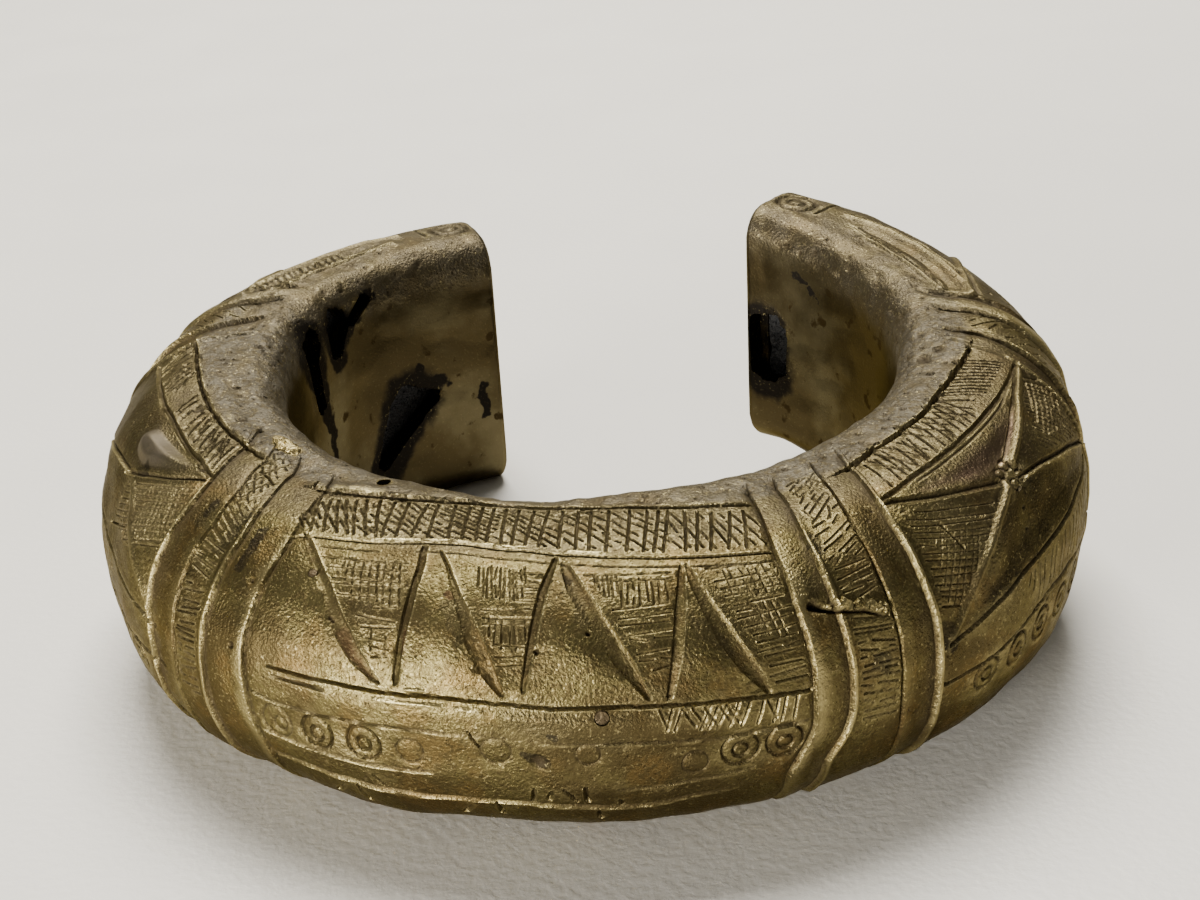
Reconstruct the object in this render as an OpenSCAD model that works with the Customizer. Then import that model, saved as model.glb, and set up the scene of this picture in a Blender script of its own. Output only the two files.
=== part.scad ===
// Cast brass cuff of the manilla kind: a hollow penannular casting over a clay core.
// Millimetres. +Z is up, the front faces -Y and the gap between the arms faces +Y.
// A place on the surface is given by two angles: a runs along the arc from the front, positive to +X,
// and t runs round the section, 0 at the belly, 90 at the crown and -90 underneath.

/* [Cuff] */
// Width of the arm opening, side to side
opening_w = 74.4; // [66:0.1:86]
// Depth of the arm opening, front to gap
opening_d = 66.6; // [58:0.1:80]
// Angle from the front to the end of each arm
arm_angle = 152.6; // [135:0.1:160]

/* [Section] */
// Thickness at the front, inner wall to belly
front_t = 25.5; // [20:0.1:30]
// Thickness at the ends of the arms
end_t = 18.4; // [16:0.1:24]
// Height at the front
front_h = 31; // [26:0.1:38]
// Height at the sides
side_h = 35; // [28:0.1:42]
// Height of the left arm's end
left_end_h = 37; // [30:0.1:46]
// Height of the right arm's end
right_end_h = 41; // [30:0.1:46]
// How far the right arm's end lifts off the ground
right_lift = 7; // [0:0.1:9]
// Length of arc over which the right arm lifts, in degrees
lift_run = 55; // [30:1:60]
// Height of the widest line at the front
belly_h = 15; // [12:0.1:18]
// Width of the level rim, inner wall to crown
rim_w = 8; // [6:0.1:10]
// Radius of the inner wall's corners
corner_r = 4; // [2.5:0.1:5]
// Fullness of the bulge: 2 is an ellipse, more is squarer
fullness = 2.4; // [2:0.05:3]
// Depth worn flat off the underside
base_wear = 0.3; // [0.1:0.05:0.8]
// Rounding of the arms' end edges
end_edge = 0.8; // [0.4:0.1:1.5]

/* [Shell and core] */
// Wall of the casting
wall = 2.6; // [1.8:0.1:3.5]
// Wall at the ends of the arms
end_wall = 2.2; // [1.8:0.1:4]
// Gap between the casting and its core
core_gap = 0.2; // [0.1:0.05:0.4]

/* [Ribs] */
// Number of ribs in a group
rib_count = 4; // [2:1:4]
// Angle of the first rib beside the front panel
front_rib = 27.3; // [26:0.1:30]
// Angle from rib to rib beside the front panel
front_rib_pitch = 5; // [4:0.1:6]
// Angle of the first rib between star panel and arm panel
arm_rib = 84; // [80:0.1:90]
// Angle from rib to rib between star panel and arm panel
arm_rib_pitch = 5.4; // [4:0.1:6]
// Height of a rib
rib_h = 0.6; // [0.2:0.05:1]
// Half the width of a rib's foot, in degrees
rib_foot = 0.9; // [0.5:0.1:1.2]
// Depth of the hollow between two ribs
band_dip = 0.3; // [0:0.05:0.6]

/* [Zig-zag grooves] */
// Number of long grooves
tooth_count = 4; // [2:1:4]
// Angle of the first long groove's top
tooth_first = -25.4; // [-26:0.1:-20]
// Angle from one long groove to the next
tooth_pitch = 14.2; // [11:0.1:14.5]
// How far a long groove leans, in degrees
tooth_lean = 8.6; // [4:0.1:9]
// How far a short groove leans back, in degrees
tooth_return = 2; // [0:0.1:3]
// Space between two grooves' tops, in degrees
tooth_space = 1.4; // [1:0.1:3]
// Section angle of the grooves' tops
tooth_top = 68; // [60:1:74]
// Section angle of the grooves' feet
tooth_foot = 17; // [10:1:30]
// Width of a groove at its widest
groove_w = 1.4; // [0.6:0.1:2]
// Depth of a groove at its widest
groove_d = 0.8; // [0.3:0.1:1.2]

/* [Star panels] */
// Angle of a star's centre along the arc
star_a = 61; // [58:0.5:66]
// Section angle of a star's centre
star_t = 49; // [44:1:52]
// Angle from the panel's ribs to the star's points
star_margin = 1; // [0.5:0.1:3]
// Section angle of the star's upper points
star_top = 70; // [64:1:74]
// Section angle of the star's lower points
star_low = 12; // [6:1:20]
// Width of a star's bar
star_bar_w = 1.2; // [0.8:0.1:2]
// Height of a star's bar
star_bar_h = 0.5; // [0.3:0.1:0.8]
// Radius of the hollow between two bars
dish_r = 36; // [24:1:48]
// Depth of the hollow at its middle
dish_d = 0.9; // [0.5:0.1:1.1]
// Depth of the hollow towards its two points
dish_end_d = 0.5; // [0.3:0.1:0.8]
// Angle along the arc from the hollow's middle to its points
dish_reach = 8; // [4:0.5:10]
// Radius of the boss at the star's centre
boss_r = 1.5; // [1:0.1:2.2]

/* [Arm panels] */
// Angle of the V's point from the ribs
vee_start = 4; // [2:0.5:8]
// Angle of the V's open end from the end of the arm
vee_end = 8; // [4:0.5:14]
// Section angle of the V's upper line
vee_top = 62; // [50:1:70]
// Section angle of the V's lower line
vee_low = 2; // [-10:1:20]

/* [Core pins] */
// Diameter of a pin
pin_d = 2.4; // [1.6:0.1:3]
// Length of a pin
pin_len = 9; // [6:0.5:12]
// Gap round a pin in its hole
pin_fit = 0.1; // [0.05:0.01:0.2]
// How far a pin's end lies below the surface
pin_sink = 0.15; // [0.05:0.05:0.4]

/* [Flaws of the casting] */
// Width of the two drop-shaped openings in the left inner wall
drop_w = 4.4; // [3:0.1:5]
// Width of the run below the first drop
run_w = 2.8; // [1.5:0.1:3.5]
// Width of the slit beside the drops
slit_w = 1.8; // [1:0.1:2.5]
// Width of the large opening in the left inner wall
hole_w = 6.4; // [4:0.1:8]
// Width of the large opening's tail
tail_w = 2.4; // [1.5:0.1:3]
// Width of the opening near the right arm's end
end_hole_w = 6; // [4:0.1:7]
// Width of the hole in the rim
rim_hole_w = 1.6; // [1:0.1:2.5]

/* [Rim patch] */
// Length of the patch
patch_len = 4.2; // [3:0.1:6]
// Width of the patch
patch_w = 2.2; // [1.4:0.1:2.6]
// Height of the patch above its seat
patch_h = 1.3; // [0.8:0.1:2]
// Width of the patch's top
patch_top_w = 1.1; // [0.6:0.1:1.4]
// How far the top lies towards one end
patch_lean = 0.7; // [0:0.1:1]
// Depth of the seat in the rim
patch_seat = 0.4; // [0.2:0.05:0.6]
// Gap between the patch and its seat
patch_fit = 0.05; // [0.02:0.01:0.1]

/* [Hidden] */

front_ribs = [for (i = [0 : rib_count - 1]) front_rib + i * front_rib_pitch];
arm_ribs = [for (i = [0 : rib_count - 1]) arm_rib + i * arm_rib_pitch];
front_ribs_end = front_ribs[rib_count - 1] + rib_foot;
arm_ribs_end = arm_ribs[rib_count - 1] + rib_foot;

// Steps along a line of ornament, round the bulge, round a corner, down the inner wall and along the core
line_steps = 3;
bulge_steps = 16;
corner_steps = 3;
wall_steps = 2;
core_steps = 24;
// Longest step along a panel, in degrees
panel_step = 6;
// How far cutters and bars run past the surface
lip = 0.3;
// Section angles where ribs start to fade and are gone, at the rim and underneath
rim_fade = [80, 94];
foot_fade = [-48, -64];
// A groove's least share of its size, how far down it is widest, and the radius of its sharp bottom
groove_least = 0.25;
groove_skew = 1.4;
groove_tip = 0.05;

// Places of the pins: angle along the arc and section angle
pin_places = [[-22.8, 54], [7.8, 10], [-75, -30], [75, -30], [-126, 10], [126, 10]];
// Openings in the inner wall, each drawn between two round ends.
// An end is given by its angle, its share of the wall's height and its width
wall_flaws = [
    [[-101, 0.86, drop_w], [-101, 0.8, run_w]],
    [[-101, 0.8, run_w], [-101.5, 0.62, tail_w]],
    [[-111, 0.87, drop_w], [-110.5, 0.77, tail_w]],
    [[-120.5, 0.9, slit_w], [-116, 0.85, slit_w]],
    [[-129, 0.42, hole_w], [-121, 0.24, tail_w]],
    [[-129, 0.42, hole_w], [-136, 0.44, tail_w]],
    [[146.8, 0.59, end_hole_w], [146.8, 0.49, end_hole_w]]];
rim_hole_a = -24.8;
patch_a = -44.5;

function unit(v) = v / norm(v);
function ease(x) = let (c = min(max(x, 0), 1)) c * c * (3 - 2 * c);
function shaped(x) = pow(abs(x), 2 / fullness);

// Thickness and height of the section at angle a, its lift off the ground and its lowest and widest heights.
// The underside would reach base_wear below the ground, and is worn flat there
function thick(a) = end_t + (front_t - end_t) * (cos(a) - cos(arm_angle)) / (1 - cos(arm_angle));
function end_height(a) = a > 0 ? right_end_h : left_end_h;
function height(a) =
    let (past = abs(a) - 90, span = arm_angle - 90, slope = (side_h - front_h) * PI / 180)
    past < 0 ? side_h - (side_h - front_h) * cos(a)
             : side_h + slope * past + (end_height(a) - side_h - slope * span) * pow(past / span, 2);
function lift(a) = right_lift * ease((a - arm_angle + lift_run) / lift_run);
function low(a) = lift(a) - base_wear * (1 - ease(lift(a)));
function floor_of(a, inset) = inset > 0 ? max(low(a), 0) : low(a);
function belly(a) = lift(a) + (height(a) - lift(a)) * belly_h / front_h;

// Relief of the ribs and of the hollows between them, faded out at the rim and underneath
function tent(x) = max(0, 1 - abs(x));
function band(a, ribs) =
    let (inside = a > ribs[0] && a < ribs[rib_count - 1])
    max([for (r = ribs) rib_h * tent((a - r) / rib_foot)])
    - (inside ? band_dip * (1 - max([for (r = ribs) tent((a - r) / (2 * rib_foot))])) : 0);
function faded(t, ends) = ease((t - ends[1]) / (ends[0] - ends[1]));
function fade(t) = faded(t, rim_fade) * faded(t, foot_fade);
function relief(a, t) = (band(abs(a), front_ribs) + band(abs(a), arm_ribs)) * fade(t);

// A point on the bulge, at distance out from the inner wall and height z; inset moves it into the metal
function bulge_point(a, t, inset) =
    let (grow = relief(a, t) * (inset > 0 ? 0 : 1) - inset, mid = belly(a))
    [rim_w + (thick(a) - rim_w + grow) * shaped(cos(t)),
     sin(t) > 0 ? mid + (height(a) - mid + grow) * shaped(sin(t))
                : mid - (mid - floor_of(a, inset) + grow) * shaped(sin(t))];

// The closed section at angle a: bulge from underneath to the crown, over the rim and down the inner wall
function section(a, inset) =
    let (r = max(corner_r - inset, lip), top = height(a) - inset, foot = floor_of(a, inset) + inset)
    concat(
        [for (i = [0 : bulge_steps]) bulge_point(a, -90 + 180 * i / bulge_steps, inset)],
        [for (i = [0 : corner_steps]) let (q = 90 * i / corner_steps)
            [inset + r - r * sin(q), top - r + r * cos(q)]],
        [for (i = [1 : wall_steps - 1]) [inset, top - r - (top - foot - 2 * r) * i / wall_steps]],
        [for (i = [0 : corner_steps]) let (q = 90 * i / corner_steps)
            [inset + r - r * cos(q), foot + r - r * sin(q)]]);

// From the section's plane into the plan, and into space with the whole cuff's middle at the origin
function plan(a, p) = [(opening_w / 2 + p[0]) * sin(a), -(opening_d / 2 + p[0]) * cos(a)];
function placed(a, p) = concat(plan(a, p) + [0, middle_y], max(p[1], 0));
function on_bulge(a, t) = placed(a, bulge_point(a, t, 0));
function outward(a, t) =
    let (e = 0.5)
    let (along = on_bulge(a + e, t) - on_bulge(a - e, t), across = on_bulge(a, t + e) - on_bulge(a, t - e))
    unit(cross(along, across));
function arc_deg(length, a) = length / norm(plan(a + 0.5, [rim_w, 0]) - plan(a - 0.5, [rim_w, 0]));

// Angles at which the section is drawn: three to a rib, and even steps across the panels
function rib_stations(ribs) = [for (r = ribs, k = [-1 : 1]) r + k * rib_foot];
function steps_between(from, to) =
    let (n = ceil((to - from) / panel_step)) [for (i = [1 : n - 1]) from + (to - from) * i / n];
half_stations = concat(
    steps_between(0, front_ribs[0] - rib_foot), rib_stations(front_ribs),
    steps_between(front_ribs_end, arm_ribs[0] - rib_foot), rib_stations(arm_ribs),
    steps_between(arm_ribs_end, arm_angle - arc_deg(end_edge, arm_angle)),
    [arm_angle - arc_deg(end_edge, arm_angle)]);
turned = [for (i = [len(half_stations) - 1 : -1 : 0]) -half_stations[i]];
stations = concat(turned, [0], half_stations);

// Half the difference between the cuff's reach to the front and to the back
back_reach = max([for (a = stations, p = section(a, 0)) plan(a, p)[1]]);
middle_y = (opening_d / 2 + front_t - back_reach) / 2;

// A solid swept through rings of points, with flat ends
module swept(rings) {
    n = len(rings[0]);
    m = len(rings);
    sides = [for (i = [0 : m - 2], j = [0 : n - 1]) let (k = (j + 1) % n)
        each [[i * n + j, i * n + k, (i + 1) * n + k], [i * n + j, (i + 1) * n + k, (i + 1) * n + j]]];
    first = [for (j = [n - 1 : -1 : 0]) j];
    last = [for (j = [0 : n - 1]) (m - 1) * n + j];
    polyhedron(points = [for (r = rings) each r], faces = concat(sides, [first], [last]), convexity = 8);
}

// The outside of the casting, its end edges eased
module outer_body() {
    ends = [for (s = [-1, 1]) [for (p = section(s * arm_angle, end_edge)) placed(s * arm_angle, p)]];
    swept(concat([ends[0]],
        [for (a = stations) [for (p = section(a, 0)) placed(a, p)]],
        [ends[1]]));
}

// The space inside the casting, or the core that fills it
module inner_body(inset, end_inset) {
    reach = arm_angle - arc_deg(end_inset, arm_angle);
    swept([for (i = [0 : core_steps]) let (a = -reach + 2 * reach * i / core_steps)
        [for (p = section(a, inset)) placed(a, p)]]);
}

// Children at a place on the bulge, with +Z pointing out of the metal
module at(a, t) {
    n = outward(a, t);
    translate(on_bulge(a, t)) rotate([0, acos(n[2]), atan2(n[1], n[0])]) children();
}

// A place on a straight line between two places
function between(p, q, f) = p + (q - p) * f;

// A tapered V-groove from place p to place q, widest two thirds of the way down
module groove(p, q) {
    for (i = [0 : line_steps - 1]) hull() for (f = [i, i + 1] / line_steps) {
        size = max(groove_least, sin(180 * pow(f, groove_skew)));
        place = between(p, q, f);
        at(place[0], place[1]) translate([0, 0, -groove_d * size])
            cylinder(h = groove_d * size + lip, r1 = groove_tip, r2 = groove_w * size / 2 + lip / 2, $fn = 6);
    }
}

// A raised bar from place p to place q
module bar(p, q) {
    for (i = [0 : line_steps - 1]) hull() for (f = [i, i + 1] / line_steps) {
        place = between(p, q, f);
        at(place[0], place[1]) translate([0, 0, -lip])
            cylinder(h = lip + star_bar_h, r1 = star_bar_w / 2 + lip, r2 = star_bar_w / 4, $fn = 6);
    }
}

// The row of long and short grooves across the front panel
module zigzag() {
    for (i = [0 : tooth_count - 1]) {
        top = tooth_first + i * tooth_pitch;
        groove([top, tooth_top], [top + tooth_lean, tooth_foot]);
        if (i > 0) groove([top - tooth_space, tooth_top], [top - tooth_space - tooth_return, tooth_foot]);
    }
}

// One star panel: its points lie beside the ribs, side is 1 at the right and -1 at the left
function star_points(side) =
    let (near = side * (front_ribs_end + star_margin), far = side * (arm_ribs[0] - rib_foot - star_margin))
    [[near, star_top], [far, star_top], [far, star_low], [near, star_low]];
module star_bars(side) {
    centre = [side * star_a, star_t];
    for (p = star_points(side)) bar(centre, p);
    at(centre[0], centre[1]) translate([0, 0, -lip])
        cylinder(h = lip + star_bar_h, r1 = boss_r + lip, r2 = boss_r, $fn = 12);
}
module star_dishes(side) {
    points = star_points(side);
    centre = [side * star_a, star_t];
    for (pair = [[0, 1], [2, 3]]) {
        place = (points[pair[0]] + points[pair[1]] + centre) / 3;
        for (k = [-1 : 1])
            at(place[0] + k * dish_reach, place[1])
                translate([0, 0, dish_r - (k == 0 ? dish_d : dish_end_d)]) sphere(dish_r, $fn = 40);
    }
}

// The V of two grooves along an arm panel
module arm_vee(side) {
    start = side * (arm_ribs_end + vee_start);
    far = side * (arm_angle - vee_end);
    middle = (vee_top + vee_low) / 2;
    for (t = [vee_top, vee_low]) groove([start, middle], [far, t]);
}

// One round end of an opening through the inner wall: angle, share of the height and width
module flaw_end(e) {
    translate(placed(e[0], [0, e[1] * height(e[0])])) rotate([90, 0, e[0]])
        cylinder(d = e[2], h = 2 * (wall + lip), center = true, $fn = 16);
}

// Where the metal did not fill: openings in the inner wall, and one in the rim
module flaws() {
    for (f = wall_flaws) hull() for (e = f) flaw_end(e);
    translate(placed(rim_hole_a, [corner_r, height(rim_hole_a) - wall - lip]))
        cylinder(d = rim_hole_w, h = wall + 2 * lip, $fn = 12);
}

// A pin's cylinder, or its hole when gap is given
module pin(place, gap) {
    at(place[0], place[1]) translate([0, 0, -pin_sink - pin_len - gap])
        cylinder(d = pin_d + 2 * gap, h = pin_len + gap + (gap > 0 ? pin_sink + lip : 0), $fn = 24);
}

// Children at the foot of the patch's seat, with X along the rim
module patch_place() {
    translate(placed(patch_a, [corner_r + patch_w / 2, height(patch_a) - patch_seat]))
        rotate([0, 0, patch_a]) children();
}
module patch_oval(gap, h) {
    width = patch_w + 2 * gap;
    linear_extrude(h) scale([(patch_len + 2 * gap) / width, 1]) circle(d = width, $fn = 20);
}

// Hollow brass casting with its ribs, zig-zag grooves and star panels
module cast_shell() {
    color("darkgoldenrod") difference() {
        union() {
            difference() {
                outer_body();
                for (side = [-1, 1]) star_dishes(side);
            }
            for (side = [-1, 1]) star_bars(side);
        }
        inner_body(wall, end_wall);
        zigzag();
        for (side = [-1, 1]) arm_vee(side);
        flaws();
        for (p = pin_places) pin(p, pin_fit);
        patch_place() patch_oval(patch_fit, patch_seat + lip);
    }
}

// Core of burnt clay and charcoal left inside the casting
module clay_core() {
    color("dimgray") difference() {
        inner_body(wall + core_gap, end_wall + core_gap);
        for (p = pin_places) pin(p, pin_fit);
    }
}

// Iron pins that held the core while the metal was poured
module core_pins() {
    color("saddlebrown") for (p = pin_places) pin(p, 0);
}

// Lump of brass burnt on to the rim: an oval foot drawn in to a small off-centre top
module rim_patch() {
    color("khaki") patch_place() translate([0, 0, patch_fit]) hull() {
        patch_oval(0, patch_seat);
        translate([-patch_lean, 0, 0]) cylinder(d = patch_top_w, h = patch_h, $fn = 12);
    }
}

cast_shell();
clay_core();
core_pins();
rim_patch();
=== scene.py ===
# %% [markdown]
# A cast brass cuff of the manilla kind, dressed for the camera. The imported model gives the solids: a
# hollow casting, its clay core, the iron pins and a small patch on the rim. Here each of them gets the
# surface that a hand could feel: chased lines, worn ribs, pits, cracks and patina.

import bpy
import numpy as np
from mathutils import Matrix, Vector


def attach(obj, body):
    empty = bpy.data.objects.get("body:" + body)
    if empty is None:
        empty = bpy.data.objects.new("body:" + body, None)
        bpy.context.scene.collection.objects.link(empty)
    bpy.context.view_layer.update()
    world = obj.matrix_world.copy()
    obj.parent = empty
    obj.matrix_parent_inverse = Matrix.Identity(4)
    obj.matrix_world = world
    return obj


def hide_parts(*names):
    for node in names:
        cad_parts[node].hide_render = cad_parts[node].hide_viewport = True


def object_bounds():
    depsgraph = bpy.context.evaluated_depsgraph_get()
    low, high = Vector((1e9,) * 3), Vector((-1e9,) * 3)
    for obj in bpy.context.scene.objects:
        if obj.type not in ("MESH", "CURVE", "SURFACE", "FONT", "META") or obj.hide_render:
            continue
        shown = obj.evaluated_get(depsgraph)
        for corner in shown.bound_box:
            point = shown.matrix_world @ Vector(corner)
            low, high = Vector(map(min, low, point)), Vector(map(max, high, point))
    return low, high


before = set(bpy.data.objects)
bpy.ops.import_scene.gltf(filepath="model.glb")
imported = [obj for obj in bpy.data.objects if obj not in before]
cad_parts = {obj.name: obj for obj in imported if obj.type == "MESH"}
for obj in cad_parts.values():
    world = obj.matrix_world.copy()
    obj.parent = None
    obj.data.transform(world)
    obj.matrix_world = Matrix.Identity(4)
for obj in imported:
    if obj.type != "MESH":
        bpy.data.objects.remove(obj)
cad_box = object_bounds()
MM = 0.001
BOX_LOW, BOX_HIGH = np.array(cad_box) / MM
print("the solids fill", (BOX_HIGH - BOX_LOW).round(1), "mm")

# %% [markdown]
# The camera comes first, because every later choice is judged through it. The photo was taken from close
# by, a little above the rim and a little to the right of the cuff's own middle. The eye is placed on a
# sphere round the target by two angles, and the picture is rolled as the hand-held camera was.

# %% Camera
CUFF_REACH = 58.8                       # from the middle of the arm opening to the front of the belly, mm
MIDDLE_Y = CUFF_REACH + BOX_LOW[1]      # the arm opening's middle lies behind the origin
TARGET = np.array([0.8, MIDDLE_Y, 19.4])
EYE_DISTANCE = 223.9
EYE_UP, EYE_RIGHT, EYE_ROLL = np.radians([25.1, 8.9, -3.3])
FOCAL, SENSOR_W, NEAREST = 54, 36, 0.01


def in_scene(name, data):
    """A new object with this data, linked to the scene."""
    piece = bpy.data.objects.new(name, data)
    bpy.context.scene.collection.objects.link(piece)
    return piece


def camera_matrix():
    """The camera's axes as columns: right and up turned by the roll, and back from the target to the eye."""
    back = np.array([np.sin(EYE_RIGHT) * np.cos(EYE_UP), -np.cos(EYE_RIGHT) * np.cos(EYE_UP), np.sin(EYE_UP)])
    level = np.cross([0, 0, 1], back)
    level /= np.linalg.norm(level)
    raised = np.cross(back, level)
    right = level * np.cos(EYE_ROLL) + raised * np.sin(EYE_ROLL)
    up = raised * np.cos(EYE_ROLL) - level * np.sin(EYE_ROLL)
    matrix = np.eye(4)
    matrix[:3] = np.column_stack([right, up, back, (TARGET + back * EYE_DISTANCE) * MM])
    return Matrix(matrix)


camera_data = bpy.data.cameras.new("camera")
camera_data.lens, camera_data.sensor_width, camera_data.clip_start = FOCAL, SENSOR_W, NEAREST
camera = in_scene("camera", camera_data)
camera.matrix_world = camera_matrix()
bpy.context.scene.camera = camera
print("camera at", tuple(round(c, 4) for c in camera.location))

# %% [markdown]
# The cuff's form is one rule: a D-shaped section carried round an oval arm opening. A place on it has two
# angles. The first, a, runs along the arc from the front, positive to the right. The second, t, runs round
# the section: -90 underneath, 0 at the belly, 90 at the crown, then over the rim and down the inner wall
# to 270. The sizes are those of the solids, in millimetres.

# %% The form of the cuff
OPENING_W, OPENING_D = 74.4, 66.6
FRONT_T, END_T = 25.5, 18.4
FRONT_H, SIDE_H, LEFT_H, RIGHT_H = 31.0, 35.0, 37.0, 41.0
RIGHT_LIFT, LIFT_RUN = 7.0, 55.0
BELLY_SHARE, FULLNESS = 15.0 / 31.0, 2.4
RIM_W, CORNER_R, WEAR = 8.0, 4.0, 0.3
ARM = 152.6


def ease(x):
    """Smooth step: 0 below 0, 1 above 1, level at both ends."""
    x = np.clip(x, 0.0, 1.0)
    return x * x * (3.0 - 2.0 * x)


def thickness(a):
    """From the inner wall to the belly: falls with the cosine from the front to the arms' ends."""
    low = np.cos(np.radians(ARM))
    return END_T + (FRONT_T - END_T) * (np.cos(np.radians(a)) - low) / (1 - low)


def height(a):
    """Rises with the cosine from the front to the sides, then along a
    parabola to each arm's own end height."""
    past, span = np.abs(a) - 90, ARM - 90
    slope = (SIDE_H - FRONT_H) * np.pi / 180
    end = np.where(a > 0, RIGHT_H, LEFT_H)
    arm = SIDE_H + slope * past + (end - SIDE_H - slope * span) * (past / span) ** 2
    return np.where(past < 0, SIDE_H - (SIDE_H - FRONT_H) * np.cos(np.radians(a)), arm)


def lift(a):
    """The right arm's end stands off the ground: a smooth step over the last stretch of arc."""
    return RIGHT_LIFT * ease((a - ARM + LIFT_RUN) / LIFT_RUN)


def section(a, t, inset=0.0):
    """Distance out from the inner wall and height. The bulge is a superellipse in t; past the crown t counts
    length over the level rim, round a corner, down the wall, round the lower corner and back. An inset moves
    the whole outline into the metal."""
    top, raised = height(a) - inset, lift(a)
    low = raised - WEAR * (1 - ease(raised))
    low = np.maximum(low, 0) + inset if inset else low
    mid = raised + (height(a) - raised) * BELLY_SHARE
    c, s = np.cos(np.radians(t)), np.sin(np.radians(t))
    power = 2 / FULLNESS
    bulge_x = RIM_W + (thickness(a) - RIM_W - inset) * np.abs(c) ** power
    bulge_z = mid + np.where(s > 0, top - mid, low - mid) * np.abs(s) ** power
    r = max(CORNER_R - inset, 0.3)
    flat, bend = RIM_W - inset - r, r * np.pi / 2
    wall = top - low - 2 * r
    run = (t - 90) / 180 * (2 * flat + 2 * bend + wall)
    upper = np.clip((run - flat) / bend, 0, 1) * np.pi / 2
    lower = np.clip((run - flat - bend - wall) / bend, 0, 1) * np.pi / 2
    wall_x = RIM_W - np.clip(run, 0, flat) - r * np.sin(upper) + r * (1 - np.cos(lower))
    wall_x = wall_x + np.clip(run - flat - 2 * bend - wall, 0, flat)
    wall_z = top - r * (1 - np.cos(upper)) - np.clip(run - flat - bend, 0, wall) - r * np.sin(lower)
    return np.where(t <= 90, bulge_x, wall_x), np.where(t <= 90, bulge_z, wall_z)


def placed(a, out, up):
    """From the section's plane into space: the arm opening's ellipse, widened by the distance out."""
    turn = np.radians(a)
    x = (OPENING_W / 2 + out) * np.sin(turn)
    y = MIDDLE_Y - (OPENING_D / 2 + out) * np.cos(turn)
    return np.stack(np.broadcast_arrays(x, y, np.maximum(up, 0)), -1)


front = [section(0.0, t) for t in (-90, 0, 90)]
print("front section", [tuple(float(v.round(1)) for v in place) for place in front])

# %% [markdown]
# The casting's skin is a grid over those two angles, finest where the chaser worked and coarser inside. At
# each arm's end the section's ring shrinks to a point, which closes the skin with a flat end face, and the
# last millimetre before it is drawn in so that the edge is round. Each point then moves along the skin's
# own normal by the relief, so one array of heights holds the whole ornament.

# %% The grid of the skin
EDGE, HALF_SECTION, CAP_ROWS, END_MM_PER_A = 1.1, 9.0, 20, 0.65


def steps(stops, sizes):
    """Even steps from each stop to the next, with a size of their own in each stretch."""
    return np.concatenate([np.arange(*stretch) for stretch in zip(stops[:-1], stops[1:], sizes)])


ARC = np.append(steps((-ARM, -104, -46, 46, 104, ARM - 0.01), (0.3, 0.16, 0.1, 0.16, 0.3)), ARM)
ROUND = steps((-90, -38, -12, 104, 134, 268), (2.6, 0.7, 0.45, 1.2, 3.0))
to_end = (ARM - np.abs(ARC)) * END_MM_PER_A
edge_inset = EDGE - np.sqrt(np.maximum(EDGE ** 2 - np.maximum(EDGE - to_end, 0) ** 2, 0))
cap_share = np.linspace(0, 1, CAP_ROWS + 1)[1:] * (1 - EDGE / HALF_SECTION)
row_a = np.concatenate([np.full(CAP_ROWS, -ARM), ARC, np.full(CAP_ROWS, ARM)])
row_share = np.concatenate([cap_share, 1 - edge_inset / HALF_SECTION, cap_share[::-1]])
BODY = slice(CAP_ROWS, -CAP_ROWS)


def shrunk_ring(a, t, share):
    """A ring of the section, drawn in towards the section's middle to a share of its size."""
    out, up = section(a, t)
    mid_out, mid_up = thickness(a) / 2, (height(a) + lift(a)) / 2
    return placed(a, mid_out + share * (out - mid_out), mid_up + share * (up - mid_up))


def normals(points):
    """Outward unit normals of a grid that is closed round its second direction: along crossed with round."""
    along = np.gradient(points, axis=0)
    across = np.roll(points, -1, axis=1) - np.roll(points, 1, axis=1)
    n = np.cross(along, across)
    return n / np.maximum(np.linalg.norm(n, axis=-1, keepdims=True), 1e-9)


skin = shrunk_ring(row_a[:, None], ROUND[None, :], row_share[:, None])
skin_normals = normals(skin)
MM_PER_A = np.linalg.norm(np.gradient(skin[BODY], ARC, axis=0), axis=-1)
column_gaps = np.linalg.norm(np.diff(skin[BODY], axis=1), axis=-1)
MM_ROUND = np.pad(np.cumsum(column_gaps, axis=1), ((0, 0), (1, 0)))
print("skin grid", skin.shape[:2], "steps at the front", column_gaps[len(ARC) // 2, 100:103].round(2), "mm")

# %% [markdown]
# A chaser has few tools: a tracer that leaves a V-groove, a punch that leaves a ring, a liner for
# hatching. Each is a function here. All measure distance on the metal in millimetres, from the grid's own
# stretch, so a line keeps its width wherever it runs. The deepest cut wins where lines cross, as it does
# on the real piece. Besides the height, each tool leaves a trace for the finish: dirt in the lines, and
# bright metal on the edges: worn metal there, but a painted highlight on the glint bars.

# %% The chaser's tools
grid_shape = (len(ARC), len(ROUND))
form, raised, sunk, burr = (np.zeros(grid_shape) for _ in range(4))
dirt, bright, covered = (np.zeros(grid_shape) for _ in range(3))
LEAST_MM_A, LEAST_MM_T = 0.6, 0.2       # fewest millimetres to a degree along the arc and round it
STEP_W = 0.15                           # over which an edge's small step falls, mm
BURR_W, BURR_H = 0.12, 0.1              # of the burr along an edge, mm
DIRT_W, DIRT_DEPTH = 0.14, 0.17         # half width of the dirt in a line, depth that holds it all, mm
SMALL_RING = 0.8                        # radius of the inner ring where two are punched, mm


def window(points, reach):
    """The part of the grid within reach millimetres of a list of places, as two slices."""
    low, high = np.min(points, axis=0), np.max(points, axis=0)
    i = slice(*np.searchsorted(ARC, [low[0] - reach / LEAST_MM_A, high[0] + reach / LEAST_MM_A]))
    j = slice(*np.searchsorted(ROUND, [low[1] - reach / LEAST_MM_T, high[1] + reach / LEAST_MM_T]))
    return i, j


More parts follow.
